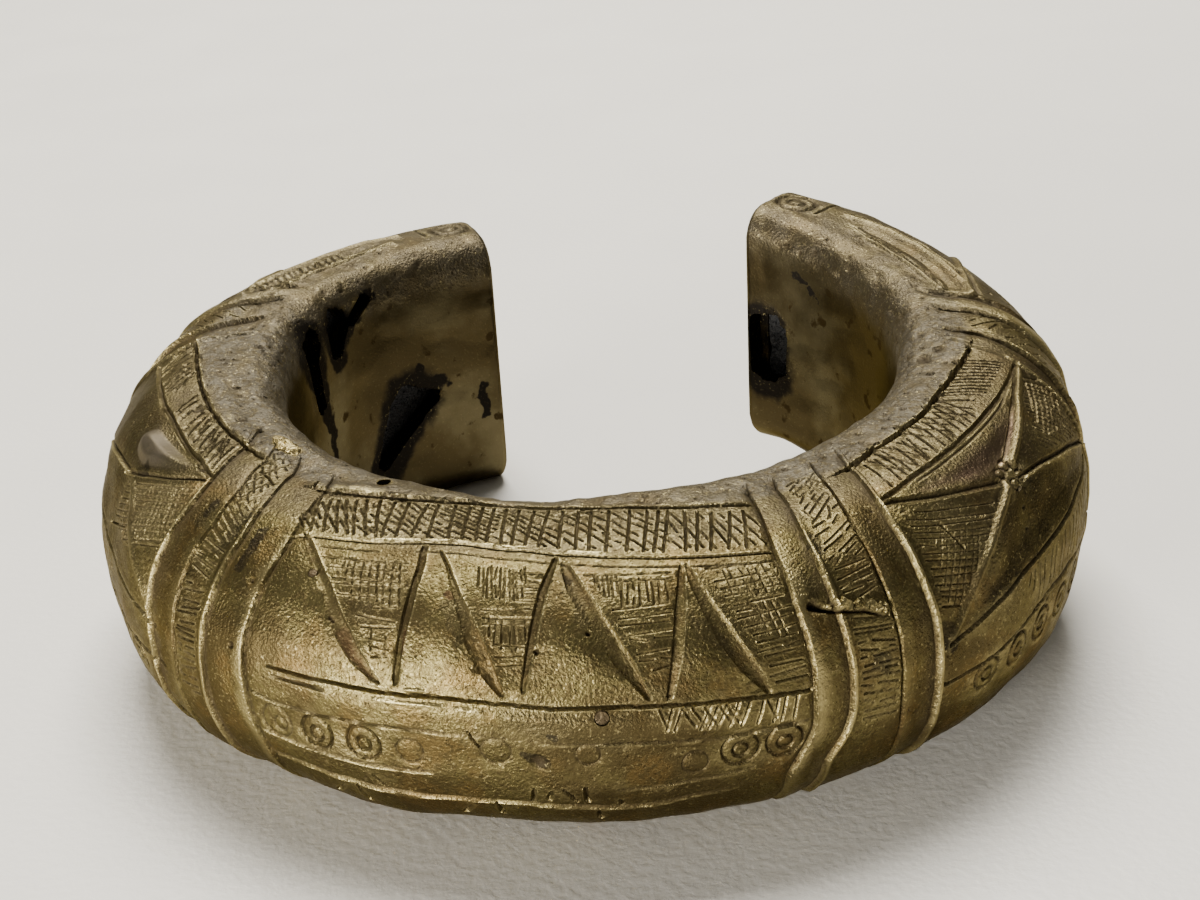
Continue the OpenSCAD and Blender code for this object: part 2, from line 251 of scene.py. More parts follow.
def offsets(where, place):
    """From a place to each grid point of a window, in millimetres along the arc and round the section."""
    column = np.interp(place[1], ROUND, np.arange(len(ROUND)))
    k = min(int(column), len(ROUND) - 2)
    level = MM_ROUND[where[0], k] + (column - k) * column_gaps[where[0], k]
    return (ARC[where[0], None] - place[0]) * MM_PER_A[where], MM_ROUND[where] - level[:, None]


def side_offsets(where, p, q):
    """From a place to each grid point of a window, and from the place to
    the next one, both in millimetres."""
    ex, ey = offsets(where, p)
    gx, gy = offsets(where, q)
    return ex, ey, ex - gx, ey - gy


def from_line(points, reach):
    """Signed distance from a chain of places, in millimetres, positive to the right of a
    line that runs down and above one that runs to the right, and the number of the
    nearest place, with the share to the next one."""
    where = window(points, reach)
    near, number = np.full(MM_PER_A[where].shape, 1e9), np.zeros(MM_PER_A[where].shape)
    for k, (p, q) in enumerate(zip(points[:-1], points[1:])):
        ex, ey, dx, dy = side_offsets(where, p, q)
        f = np.clip((ex * dx + ey * dy) / (dx * dx + dy * dy), 0, 1)
        d = np.hypot(ex - f * dx, ey - f * dy)
        closer = d < np.abs(near)
        near = np.where(closer, np.where(dx * ey > dy * ex, d, -d), near)
        number = np.where(closer, k + f, number)
    return where, near, number


def stamp(field, where, values):
    """Keeps the larger of what is there and what the tool leaves."""
    field[where] = np.maximum(field[where], values)


def groove(points, depth, left, right, lip=(0.3, 0.3), grime=0.55, step=0.22, stained=0.0):
    """A V-groove whose edges start with a small step, a share of the depth. The depth and the widths of the
    walls are numbers, or lists with one for each place. Each edge carries a burr as high and bright as its
    lip says, dirt lies in the bottom, and the walls can be stained."""
    where, d, number = from_line(points, max(np.max(left), np.max(right)) + 0.5)
    at = np.arange(len(points))
    depth, left, right = (np.interp(number, at, np.broadcast_to(v, len(at))) for v in (depth, left, right))
    width = np.where(d < 0, left, right)
    wall = np.clip(1 - np.abs(d) / width, 0, 1)
    shoulder = np.clip((width - np.abs(d)) / STEP_W, 0, 1)
    edge = np.clip(1 - np.abs(np.abs(d) - width - BURR_W / 2) / BURR_W, 0, 1) * np.where(d < 0, *lip)
    stamp(sunk, where, depth * (step * shoulder + (1 - step) * wall))
    stamp(burr, where, BURR_H * edge)
    stamp(bright, where, edge)
    held = ease(1.6 - np.abs(d) / DIRT_W) * ease(3 * wall) * np.minimum(depth / DIRT_DEPTH, 1)
    stamp(dirt, where, grime * held)
    stamp(dirt, where, stained * shoulder)


def strokes(pairs, upper, lower, depth, width, lip=(0.3, 0.3), grime=0.65):
    """Short cuts from one border line to another. Each pair gives the arc angle at the upper and the lower
    end; a border is a function of that angle."""
    for top, foot in pairs:
        ends = [(top, upper(top)), (foot, lower(foot))]
        groove(ends, [depth, 0.8 * depth], width / 2, width / 2, lip, grime)


def bar(points, bar_height, width, shine=0.6):
    """A raised bar with a rounded top, pale by its shine: worn metal, or a painted highlight on the glint
    bars.
    """
    where, d, _ = from_line(points, width)
    rise = ease((1 - 2 * np.abs(d) / width) / 0.9)
    stamp(raised, where, bar_height * rise)
    stamp(bright, where, shine * rise)
    stamp(covered, where, ease(3 * rise))


def fold(points, fold_height, width):
    """A torn lip: a raised strip with a ragged outline and an uneven top."""
    where, d, _ = from_line(points, width)
    ragged = waves(skin[BODY][where], 1.0, 23)
    rise = ease((width / 2 - np.abs(d) + 0.22 * ragged) / 0.3)
    stamp(raised, where, fold_height * rise * (1 + 0.35 * waves(skin[BODY][where], 1.6, 24)))
    stamp(bright, where, 0.7 * rise * ease(0.5 + ragged))


def ring(a, t, radius, depth=0.34, width=0.45, shine=0.6):
    """A ring punch: a round V-groove with a bright outer edge."""
    where = window([(a, t), (a, t)], radius + 0.8)
    r = np.hypot(*offsets(where, (a, t)))
    wall = np.clip(1 - np.abs(r - radius) / (width / 2), 0, 1)
    stamp(sunk, where, depth * wall)
    stamp(dirt, where, 0.6 * ease(1.4 * wall - 0.2))
    stamp(bright, where, shine * np.clip(1 - np.abs(r - radius - width) / 0.2, 0, 1))


def double_ring(a, t, radius=1.9, drop=0.0):
    """Two ring punches, one inside the other; the small one can sit lower."""
    ring(a, t, radius)
    ring(a, t - drop, SMALL_RING)


def mirrored(places, side):
    """The same places on the left half where the side is -1."""
    return [(side * a, t) for a, t in places]


def depth_inside(corners, soft=0.05):
    """How far each grid point lies inside a convex outline, in millimetres; below 0 outside. It is the least
    of the distances to its sides, taken as a soft minimum, the logarithm of a sum of exponentials."""
    where = window(corners, 0.5)
    corners = np.array(corners, float)
    centre = corners.mean(0)
    nearness = np.zeros(MM_PER_A[where].shape)
    for p, q in zip(corners, np.roll(corners, -1, axis=0)):
        ex, ey, dx, dy = side_offsets(where, p, q)
        turn = np.sign((q[0] - p[0]) * (centre[1] - p[1]) - (q[1] - p[1]) * (centre[0] - p[0]))
        inside = turn * (dx * ey - dy * ex) / np.hypot(dx, dy)
        nearness += np.exp(np.clip(-inside / soft, -80, 80))
    return where, -soft * np.log(nearness)


def hatch(corners, lean, pitch, depth, seed, width=0.3, broken=0.0, grime=0.5, lip=0.3):
    """Strokes at an angle, a pitch apart, cut where they cross the outline. Hand work: each stroke starts a
    little late, leans a little and varies in depth, and a share of them is broken into short pieces."""
    rng = np.random.default_rng(seed)
    corners = np.array(corners, float)
    centre = corners.mean(0)
    where = window([centre, centre], 0.3)
    scale = np.array([MM_PER_A[where].mean(), (column_gaps[where] / np.diff(ROUND)[where[1]]).mean()])
    along = np.array([np.cos(np.radians(lean)), np.sin(np.radians(lean))])
    across = np.array([-along[1], along[0]])
    u, v = (corners - centre) * scale @ along, (corners - centre) * scale @ across
    next_u, next_v = np.roll(u, -1), np.roll(v, -1)
    for offset in np.arange(v.min() + pitch * 0.6, v.max(), pitch) + rng.normal(0, 0.14 * pitch):
        offset += rng.normal(0, 0.12 * pitch)
        crossed = (v - offset) * (next_v - offset) < 0
        stops = np.sort((u + (offset - v) / (next_v - v + 1e-9) * (next_u - u))[crossed])
        for start, end in zip(stops[::2], stops[1::2]):
            start, end = start + rng.uniform(0, 0.5), end - rng.uniform(0, 0.5)
            cuts = [start, end]
            if rng.uniform() < broken and end - start > 2.5:
                middle = rng.uniform(start + 1, end - 1)
                cuts = [start, middle - 0.35, middle + 0.35, end]
            for near, far in zip(cuts[::2], cuts[1::2]):
                if far - near > 0.5:
                    skew = rng.normal(0, 0.09 * pitch)
                    ends = [near * along + (offset - skew) * across, far * along + (offset + skew) * across]
                    deep = depth * rng.uniform(0.65, 1.15)
                    groove([centre + e / scale for e in ends], [deep, 0.7 * deep], width / 2, width / 2,
                           (lip, lip), grime)


def waves(places, length, seed, count=8):
    """Smooth unevenness: a sum of sine waves of about one length, in directions drawn once from the seed."""
    rng = np.random.default_rng(seed)
    ways = rng.normal(size=(count, 3))
    ways *= (2 * np.pi / length * rng.uniform(0.7, 1.4, count) / np.linalg.norm(ways, axis=1))[:, None]
    return np.sin(places @ ways.T + rng.uniform(0, 2 * np.pi, count)).sum(-1) / np.sqrt(count)


print("tools ready on", grid_shape, "points")

# %% [markdown]
# Between the panels run bands of ribs. On the wax they were threads laid over the core and pressed at
# their edges, so in the brass each has a steep dark side and a bright one. A band is a row of lines, each
# with its own profile of heights across it. The lines lean out near the rim, bow below the belly, and fade
# away underneath.

# %% Bands of ribs
EDGE_RIB = [(-0.8, 0), (-0.12, -0.34), (0.12, 0.2), (0.4, 0.22), (1.8, 0)]
SLOPE_RIB = [(-0.7, -0.24), (-0.12, -0.36), (0.12, 0.2), (0.28, 0.26), (0.45, 0.22), (0.7, 0)]
FLAT_RIB = [(-0.35, 0), (-0.12, -0.32), (0.12, 0.16), (0.35, 0.18), (1.8, -0.08)]
LAST_RIB = [(-0.9, -0.26), (-0.12, -0.34), (0.12, 0.28), (0.26, 0.32), (0.5, 0.28), (0.75, -0.18),
            (0.95, -0.18), (1.4, 0)]
FRAME_RIB = [(-0.7, 0), (-0.4, 0.3), (0, 0.3), (0.25, -0.34), (1.0, -0.36), (2.6, -0.2)]
WIDE_RIB = [(-0.5, 0), (-0.1, -0.42), (0.4, -0.36), (0.9, 0.3), (1.6, 0.42), (3.4, 0.4), (4.2, 0.1)]
END_RIB = [(-0.4, -0.2), (0, -0.44), (0.6, -0.4), (1.2, 0.1), (1.8, 0.1), (2.6, 0)]
FRONT_RIBS = [EDGE_RIB, SLOPE_RIB, FLAT_RIB, LAST_RIB]
ARM_RIBS = [FRAME_RIB, LAST_RIB, WIDE_RIB, END_RIB]
RIGHT_LINES, LEFT_LINES = (26.85, 30.5, 36.4, 40.7), (27.1, 33.2, 38.3, 43.2)
RIGHT_ARM_LINES, LEFT_ARM_LINES = (81.6, 86.0, 93.3, 99.1), (85.0, 90.2, 97.0, 102.6)
BAND_TOP, BAND_FOOT = 106, -62


def band_shift(a, t, lean):
    """How far the lines of a band have moved out along the arc: a power law above the shoulder, greater
    farther from the front, and a bow below."""
    return lean * np.abs(a) / 35 * (np.clip(t - 57, 0, None) / 45) ** 1.5 + 0.6 * ease((45 - t) / 35)


def band(side, lines, ribs, lean, share=1.0, worn=0.0, drawn_in=0.0):
    """Reads each point's arc angle, less the shift of the lines and a slight waver, in the profile of the
    whole row of ribs. Share scales the heights, worn takes the ribs down near the rim, and drawn in curves
    the inner lines to the front under the belly."""
    at = side * ARC[:, None] - band_shift(ARC[:, None], ROUND[None, :], lean) + 0.1 * waves(skin[BODY], 14, 3)
    at = at + drawn_in * ease((2 - ROUND[None, :]) / 24) * ease((36 - at) / 6) * (at > 15)
    profile = [(line + off, rise) for line, rib in zip(lines, ribs) for off, rise in rib]
    heights = share * np.interp(at, *np.transpose(profile))
    heights = heights * ease((BAND_TOP - ROUND) / 9) * ease((ROUND - BAND_FOOT) / 18)
    heights = np.where(heights > 0, heights * (1 - worn * ease((ROUND - 58) / 24)), heights)
    form[:] += heights
    stamp(dirt, ..., 0.7 * ease((-heights / share - 0.22) / 0.12))
    faded = 1 - 0.85 * ease((ROUND - 66) / 16) * ease((np.abs(ARC[:, None]) - 70) / 10)
    stamp(bright, ..., 0.6 * ease((heights / share - 0.14) / 0.1) * faded)


def band_field(side, near, far, low, high, lean, slant, pitch, depth, seed):
    """Strokes in one stretch of the field between two lines of a band."""
    corners = [(side * (line + band_shift(1.1 * line, t, lean)), t)
               for line, t in ((near, low), (far, low), (far, high), (near, high))]
    hatch(corners, 90 - side * (90 - slant), pitch, depth, seed, width=0.28, broken=0.5)


RIGHT_LEAN, LEFT_LEAN, ARM_LEAN = 3.8, 6.6, 2.45
FRONT_STRETCHES = ((84, 94, 38), (70, 84, 36), (51, 70, 24), (36, 51, 8), (15, 32, -12), (-6, 15, -8))
CROSSED_ABOVE, ARM_STRETCH = 60, 13
band(1, RIGHT_LINES, FRONT_RIBS, RIGHT_LEAN, worn=0.8, drawn_in=2.3)
band(-1, LEFT_LINES, FRONT_RIBS, LEFT_LEAN, share=0.75, worn=0.85, drawn_in=1.2)
band(1, RIGHT_ARM_LINES, ARM_RIBS, ARM_LEAN)
band(-1, LEFT_ARM_LINES, ARM_RIBS, ARM_LEAN)
for side, lines, lean in ((1, RIGHT_LINES, RIGHT_LEAN), (-1, LEFT_LINES, LEFT_LEAN)):
    near, far = lines[1] + 1.1, lines[2] - 0.4
    for low, high, slant in FRONT_STRETCHES:
        band_field(side, near, far, low, high, lean, slant, 0.8, 0.24, 200 + low + 7 * side)
        if low > CROSSED_ABOVE:
            band_field(side, near, far, low, high, lean, slant + 60, 1.6, 0.24, 230 + low + side)
for side, lines in ((1, RIGHT_ARM_LINES), (-1, LEFT_ARM_LINES)):
    near, far = lines[1] + 1.7, lines[2] - 0.4
    for low in range(-40, 90, ARM_STRETCH):
        band_field(side, near, far, low, low + ARM_STRETCH, ARM_LEAN, 128, 1.4, 0.3, 90 + low + side)
print("bands stand", round(float(form.max()), 2), "mm high")

# %% [markdown]
# The front panel holds a zig-zag of chip cuts between two border lines, under a strip of crossed strokes.
# A chip cut is made with a slanted chisel, so one side is a broad facet and the other a steep wall. The
# triangles in between are filled with basket work, short strokes that lie level in one block and stand
# upright in the next. Below the lower border come rings from a punch, and a plain line near the foot with
# notches under it.

# %% Border lines of the front panel
TOP_LINE = [(-31, 89), (-27, 91), (-22, 94.5), (-17, 98), (-12, 102.5), (-6, 104.5), (2, 104), (8, 101),
            (14, 97.3), (20, 92.8), (24, 90), (27.5, 88)]
TOP_CRACK = [(2.3, 95), (4, 95.5), (7, 97.5), (9.5, 97.5)]
SECOND_LINE = [(-27.2, 66), (-24, 69), (-18, 71.8), (-12, 75), (-7, 76.3), (0, 74.6), (8, 72), (16, 68),
               (26.4, 62.8)]
# Glint bars: short, low bars whose pale tops are painted highlights, along the top line, the second line, the
# lower border and the left star's rim.
PAINTED_GLINT_BARS = [[(-29.6, 92.2), (-26, 94), (-22.5, 97)], [(-18, 73.4), (-15, 75), (-12.3, 76.4)],
                [(-11.6, 76.8), (-8.7, 77.8)], [(-8, 77.9), (-4, 77.4), (0, 76.4)], [(5, 74.8), (9, 73.4)],
                [(-13.4, 17.2), (-12.2, 16.4)], [(-9.9, 17), (-8, 17.4)],
                [(-13, 12), (-9.4, 12.5), (-6.4, 12.8)], [(-5.2, 12.4), (-3, 11.6)],
                [(-58.6, 93.4), (-57.2, 91.6)]]
LOW_LINE = [(-24.7, 14), (-18, 14.5), (-13, 14.6), (-7, 15.8), (0, 14.5), (4, 13.3), (10, 13.3), (20, 11),
            (27, 8.8)]
TWIN_LINE = [(-24.3, 11), (-21, 11.2), (-18.3, 11.4)]
RING_LINE = [(-27.2, 3.5), (-24, 2.2), (-20, 2.2), (-16, 3), (-10, 4), (-4, 4.2), (5, 2), (10, 2),
             (18, 0.2), (27, 0)]
UNDER_LINE = [(-26, -8), (-22, -9.5), (-12, -9.3), (-8, -8.7)]
RIGHT_UNDER_LINE = [(9, -14.5), (13, -15), (17, -14.3), (21.5, -12.8)]
FOOT_LINE = [(-26, -19.5), (-16, -21.5), (-8, -22.5), (1, -23.5), (10, -26.5), (14, -25), (20, -22)]


def border(line, shift=0.0):
    """A border line as a function: where it stands at an arc angle, moved by a shift."""
    return lambda a: float(np.interp(a, *np.transpose(line))) + shift


EVEN_LIPS = (0.3, 0.3)
BORDERS = [(TOP_LINE, 0.6, 0.5, 0.25, (0.2, 0.5)),
           (TOP_CRACK, [0.1, 0.35, 0.35, 0.1], 0.2, 0.2, EVEN_LIPS),
           (SECOND_LINE, 0.34, 0.24, 0.14, (0.1, 0.8)),
           ([(a, t - 4.4) for a, t in SECOND_LINE[3:]], 0.16, 0.14, 0.14, EVEN_LIPS),
           (TWIN_LINE, [0.15, 0.4, 0.15], 0.22, 0.22, EVEN_LIPS),
           (RING_LINE, [0.25, 0.25, 0.3, 0.3, 0.2, 0.1, 0.1, 0.25, 0.25, 0.2], 0.2, 0.16, (0.45, 0.1)),
           (UNDER_LINE, 0.26, 0.3, 0.2, (0.7, 0.1)),
           (RIGHT_UNDER_LINE, [0.1, 0.3, 0.2, 0.1], 0.2, 0.2, EVEN_LIPS),
           (FOOT_LINE, [0.15, 0.36, 0.36, 0.36, 0.36, 0.25, 0.05], 0.35, 0.5, (0.5, 0.1))]
LOW_DEPTHS = [0.3, 0.4, 0.45, 0.45, 0.35, 0.35, 0.4, 0.4, 0.4]
for line, depth, below, above, lips in BORDERS:
    groove(line, depth, below, above, lips)
groove(LOW_LINE, LOW_DEPTHS, 0.24, 0.18, lip=(0.8, 0.3), grime=0.35)
# Each glint bar is a low ridge with a painted highlight on it.
for line in PAINTED_GLINT_BARS:
    bar(line, 0.14, 0.5, shine=1.0)
print("borders cut", round(float(sunk.max()), 2), "mm deep")

# %% [markdown]
# The long cuts start as a thin line at the top and open to a facet on their left; the first one is also
# bevelled on its right. Widths are given at each place of a cut. The strip above carries bold strokes from
# border to border, slanting one way at the left and the other way at the right, with finer ones across
# them.

# %% Cuts and strokes of the front panel
LONG_CUTS = [([(-26, 67.5), (-24, 61.2), (-22, 55), (-20, 48.5), (-18.5, 42.5), (-16.2, 34.5), (-14.4, 26),
               (-12.6, 18)], [0.2, 0.25, 0.3, 0.4, 0.9, 1.5, 1.3, 0.4],
              [0.5, 0.8, 0.8, 0.8, 0.7, 0.35, 0.25, 0.25]),
             ([(-9.2, 72), (-7.8, 66), (-5.6, 53), (-4.5, 47), (-3, 37), (-1.8, 27), (-0.9, 18)],
              [0.2, 0.22, 0.6, 1.0, 1.5, 1.3, 0.4], [0.2, 0.25, 0.3, 0.3, 0.3, 0.35, 0.3]),
             ([(4.7, 68.5), (6, 61), (7.6, 51), (9.1, 41), (10.6, 29), (12.1, 16)],
              [0.5, 1.3, 1.6, 1.6, 1.4, 0.4], [0.35, 0.35, 0.3, 0.3, 0.35, 0.3]),
             ([(17.3, 63), (18, 55), (19, 45), (20.2, 34.5), (21.7, 22.5), (23, 11.5)],
              [0.3, 0.8, 1.2, 1.6, 1.4, 0.4], [0.35, 0.35, 0.35, 0.35, 0.35, 0.3])]
SHORT_CUTS = [([(-11.5, 72), (-10.9, 63), (-10.8, 45), (-11, 20)], [0.7, 0.75, 0.8, 0.6]),
              ([(3.4, 71), (2.3, 58), (1.5, 38), (0.9, 20)], [0.5, 0.8, 0.75, 0.45]),
              ([(16.6, 63), (15.4, 46), (14.6, 30), (13.8, 15.5)], [0.5, 1.0, 1.0, 0.5])]
BOLD = [(-29.5, -25.8), (-28, -24.3), (-27, -22.6), (-26, -21.2), (-24.7, -20.5), (-23.5, -19),
        (-21.6, -17.8), (-19.6, -17.1), (-17.7, -15.4), (-15.2, -13.6), (-13.8, -11.7), (-11.5, -9.2),
        (-9.4, -7.6), (-7.7, -5.9), (-6.1, -4.6), (-4.3, -2.9), (-2.5, -1.6), (-0.4, 0), (1.6, 1.5),
        (3.6, 3.8), (5.8, 5.7), (7.5, 7.2), (9.9, 9.1), (12.6, 11.4), (14.9, 13.2), (16.3, 14.3),
        (17.5, 15.3), (19.5, 17.7), (21, 18.9), (22.6, 20.4), (24.8, 22.3), (26.4, 24.2)]
CROSSING = [(-29, -21, 144, 0.75, 0.3), (-21, -13, 147, 0.8, 0.3), (-13, -4, 144, 0.85, 0.32),
            (-4, 4, 130, 1.1, 0.34), (4, 10, 128, 1.1, 0.34), (10, 16.5, 126, 1.1, 0.34),
            (16.5, 27, 104, 1.1, 0.32)]
UNDER_RIGHT = [(14.1, 13.5), (15, 14.2), (17.5, 16.5), (18.2, 17.2), (19, 18), (20.1, 19.1), (21.1, 20.2),
               (22.4, 21.7), (23.8, 23.2), (24.5, 24), (25.6, 25.2)]
UNDER_LEFT = [(13, 13.6), (15, 16), (15.9, 17), (17, 18), (18.4, 19.3), (19, 20), (22.8, 23.5)]

for line, left, right in LONG_CUTS:
    groove(line, np.linspace(0.32, 0.4, len(line)), left, right, (0.1, 0.9), 0.3, step=0.5, stained=0.22)
for line, right in SHORT_CUTS:
    groove(line, 0.34, 0.16, right, lip=(0.1, 0.9), grime=0.5, stained=0.1)
strokes(BOLD, border(TOP_LINE, -3.5), border(SECOND_LINE, 3), 0.34, 0.38, (0.45, 0.45), 0.5)
for k, (left, right, lean, pitch, depth) in enumerate(CROSSING):
    upper, lower = border(TOP_LINE, -4), border(SECOND_LINE, 3.5)
    corners = [(left, lower(left)), (right, lower(right)), (right, upper(right)), (left, upper(left))]
    hatch(corners, lean, pitch, depth, 10 + k, width=0.34, broken=0.5, grime=0.4, lip=0.4)
strokes(UNDER_RIGHT, border(LOW_LINE, -1.5), border(LOW_LINE, -8), 0.22, 0.34, (0.7, 0.7), 0.2)
strokes(UNDER_LEFT, border(LOW_LINE, -1.5), border(LOW_LINE, -7), 0.22, 0.34, (0.7, 0.9), 0.25)
print("deepest cut", round(float(sunk.max()), 2), "mm")

# %% [markdown]
# Basket work next. Each block is an outline, the lean of its strokes and their pitch. Then come the
# punched rings and the notches at the foot, where the chaser stopped short of the ground.

# %% Basket work, rings and notches
BASKET = [([(-24, 67.5), (-12, 69), (-11.4, 45), (-18.5, 46.5)], 7, 1.05),
          ([(-20.4, 64), (-11.8, 66), (-11.3, 46), (-17, 46.5)], 107, 0.8),
          ([(-16.4, 45), (-11.5, 45), (-11.7, 24), (-13.6, 26)], 3, 0.95),
          ([(-15.2, 39), (-11.7, 36), (-11.8, 27), (-13.8, 28)], 104, 1.3),
          ([(-4.8, 68), (0.8, 67.5), (0.8, 53), (-3.6, 53)], 99, 0.42),
          ([(-1.2, 67), (2.5, 66), (1.9, 47), (-1, 54)], 178, 0.8),
          ([(-3.4, 49.5), (1.8, 49.5), (1.6, 42), (-2.8, 42)], 2, 0.75),
          ([(-3, 47), (1.4, 47), (1.2, 34), (-1.8, 34)], 93, 0.7),
          ([(-2.2, 37), (1.2, 37), (1, 25), (-1.4, 27)], 1, 0.9),
          ([(6.3, 66.5), (16, 61.5), (15.8, 58), (7, 60)], 175, 0.8),
          ([(7, 65), (10.2, 64), (10.4, 54), (8.6, 53)], 92, 0.45),
          ([(10.2, 61.5), (15.2, 60), (15, 49), (10, 49)], 88, 0.62),
          ([(8.8, 52), (15.2, 52), (14.6, 24), (11.6, 26)], 2, 0.9),
          ([(18.8, 62.5), (26.3, 60.5), (26.2, 58), (18.9, 59)], 173, 0.7),
          ([(20.2, 60), (26.2, 58.5), (26.3, 46), (21, 46)], 97, 0.8),
          ([(19.6, 56), (26.4, 56), (26.4, 43), (20.8, 44)], 1, 0.85),
          ([(22.2, 44), (25.6, 44), (25.6, 29), (23.2, 30)], 104, 0.75),
          ([(20.8, 42), (26.6, 42), (27, 12), (23.6, 12)], 2, 0.85)]
RINGS = [(-19.5, -2.4), (-14.4, -1.8), (20.2, -4), (24.4, -4)]
FAINT_RINGS = [(-24.3, -3, 1.9), (-23.9, -3.4, 0.8), (-9.8, -1.8, 1.4), (-1.7, 0, 1.5), (16, -6.3, 1.3),
               (6.5, -0.5, 1.2)]
NOTCHES = [[(-16.4, -24), (-15.9, -34)], [(-18, -26), (-19.6, -34)], [(-4.8, -27), (-6, -35)],
           [(-2.5, -25), (-2.3, -34)], [(9, -21), (9.4, -25)], [(6, -13), (6.1, -20)],
           [(4, -14), (5, -20)], [(1.3, -15), (1.1, -22)], [(2.9, -15), (2.6, -19)],
           [(7, -29), (7.1, -34)]]


def dish(corners, depth, run, soft=0.05):
    """Hollows a flat field, or swells it where the depth is below 0, with a soft edge inside its outline."""
    where, inside = depth_inside(corners, soft)
    form[where] -= depth * ease(inside / run)


def swell(line, rise, near, far):
    """A soft ridge along the lower side of a line: up within a short run, down again by the far one."""
    where, d, number = from_line(line, far)
    ends = ease(number) * ease(len(line) - 1 - number)
    form[where] += rise * ends * ease(-d / near) * ease((far + d) / (far - near))


swell(LOW_LINE, 0.3, 1.8, 6.0)
for k, (corners, lean, pitch) in enumerate(BASKET):
    hatch(corners, lean, pitch, 0.22, 100 + k, width=0.26, broken=0.15, grime=0.35, lip=0.35)
for (left, _), (right, _, _) in zip(SHORT_CUTS, LONG_CUTS[1:]):
    dish([left[0], left[-1], right[-1], right[0]], -0.3, 4)
for a, t in RINGS:
    double_ring(a, t, drop=0.4)
for a, t, radius in FAINT_RINGS:
    ring(a, t, radius, depth=0.2, shine=0.3)
for notch in NOTCHES:
    groove(notch, [0.35, 0.55], [0.2, 0.3], [0.3, 0.5])
print("basket blocks", len(BASKET), "rings", len(RINGS) + len(FAINT_RINGS))

# %% [markdown]
# On each side sits a star: lines from the corners of a field meet in its middle. On the right two of them
# are raised bars, two are cuts, a rosette of small rings marks the middle, and of the four triangles two
# are scraped smooth and two are filled with basket work. The left star is plainer and has a smooth
# swelling, like a lens, where the right one has its upper bar. One function makes both, mirrored, with
# what differs listed for each side.

# %% Star panels
STAR_MIDDLE = (60, 49.5)
STAR_TOP_LEFT, STAR_TOP_RIGHT, STAR_LOW_RIGHT, STAR_LOW_LEFT = (42.5, 67), (81, 70), (84, 20), (43, 8)
STAR_TOP = {1: [(42, 69), (45, 70.2), (48, 72), (53, 73.4), (60, 74.3), (68, 74.2), (75, 73), (82, 71.5)],
            -1: [(-84, 62), (-80, 65.5), (-74, 69.5), (-68, 72), (-64, 74), (-57, 74.2), (-50, 73.8),
                 (-45.5, 72)]}
LENS = [(-62.5, 52), (-64.8, 59), (-63.3, 68.5), (-56.5, 71.4), (-48.5, 72.4), (-50.5, 64.5),
        (-58.5, 51.5)]
LENS_LINE = [(-61, 45), (-55.5, 54), (-51, 61), (-45.8, 70)]
STAR_RIM = {1: [(43, 88.6), (46.5, 89.2), (49, 90.7), (54.8, 90.4), (55.6, 92), (63, 92), (66.5, 93.3),
                (70, 93.6), (76, 92.3), (84, 89.8)],
            -1: [(-87, 79.5), (-84, 82.4), (-80, 84.4), (-76, 86), (-68, 87.6), (-60, 88.4), (-52, 89),
                 (-44, 89.4)]}
STAR_LOW = [(43, 6), (50, 11), (56, 14.5), (62, 16), (70, 18.5), (80, 20)]
STAR_SKIRT = [(55, 12), (80, 17), (80, 1), (58, 1)]
STAR_FOOT = [(42, -4.5), (50, -3.5), (56, -1), (62, 0.3), (68, 0.3), (74, -1), (82, -2)]
STAR_STROKES = {1: [(45.2, 44.5), (47.3, 46.3), (48.5, 47.7), (49.6, 48.8), (51.7, 50.2), (53.6, 52.2),
                    (54.6, 52.6), (56.4, 54.4), (58.6, 56.3), (60, 58), (61.5, 59.3), (63, 60.9),
                    (64.5, 62.3), (65.8, 63.6), (67, 65.2)],
                -1: [(-86.5, -81), (-84.5, -80), (-82.8, -78.5), (-80.5, -75.5), (-78.6, -74),
                     (-77, -72.6), (-75, -71.5), (-68.5, -65), (-66.8, -64.2), (-65, -62.4),
                     (-62.6, -59.8), (-61, -57.8), (-58.4, -55.2), (-56.8, -53), (-54.6, -51.5),
                     (-53.2, -50), (-51.4, -48.4), (-49.8, -47)]}
STAR_CROSS = {1: [(46.4, 47.6), (48.4, 49.8), (50.9, 52.2), (52.8, 54), (55.5, 57.5), (57.6, 59.8),
                  (59.5, 61.5), (61.2, 63.2), (63, 65), (65, 66.8), (67, 69), (68.6, 71), (69.6, 72),
                  (70.6, 73), (71.8, 74.1), (73, 75.2), (74.1, 76.1), (75.2, 77), (76.2, 77.9),
                  (77.3, 78.8), (78.3, 79.6), (79.3, 80.4), (80.3, 81.3)],
              -1: [(-60.4, -57), (-57, -52.6), (-55.6, -51.4), (-53.6, -49), (-52.4, -47.8),
                   (-76.4, -71.4)]}
STAR_BASKET = {1: [([(42.4, 62), (55, 46), (52.8, 32.5), (46, 15.5), (42.6, 18), (42, 46)], -19, 0.75),
                   ([(44.5, 46), (50, 44), (50.5, 32), (45.5, 16), (42.8, 20)], 57, 0.8),
                   ([(79.6, 69), (88, 34), (80.3, 29), (66.5, 46.5), (72.8, 63)], -51, 0.7),
                   ([(79, 66), (86, 36), (80, 31), (70, 48), (73.5, 62)], 17, 0.75)],
               -1: [([(-45.5, 68), (-59, 44), (-58.8, 24), (-50, 26.5), (-43.8, 37), (-43.8, 50)], 22, 0.7),
                    ([(-46, 65), (-57, 45), (-57, 26), (-50, 28), (-44, 40)], 118, 0.75)]}


def crust(line, crust_height, reach):
    """The rim's crust ends at a line with a raised, ragged edge: a step
    up on the rim's side that dies away."""
    where, d, _ = from_line(line, reach)
    ragged = 0.35 * waves(skin[BODY][where], 2.2, 21) + 0.2 * waves(skin[BODY][where], 0.9, 22)
    step = ease((d + 0.1 + ragged) / 0.35) * ease((reach - d) / (0.6 * reach))
    stamp(raised, where, crust_height * step)


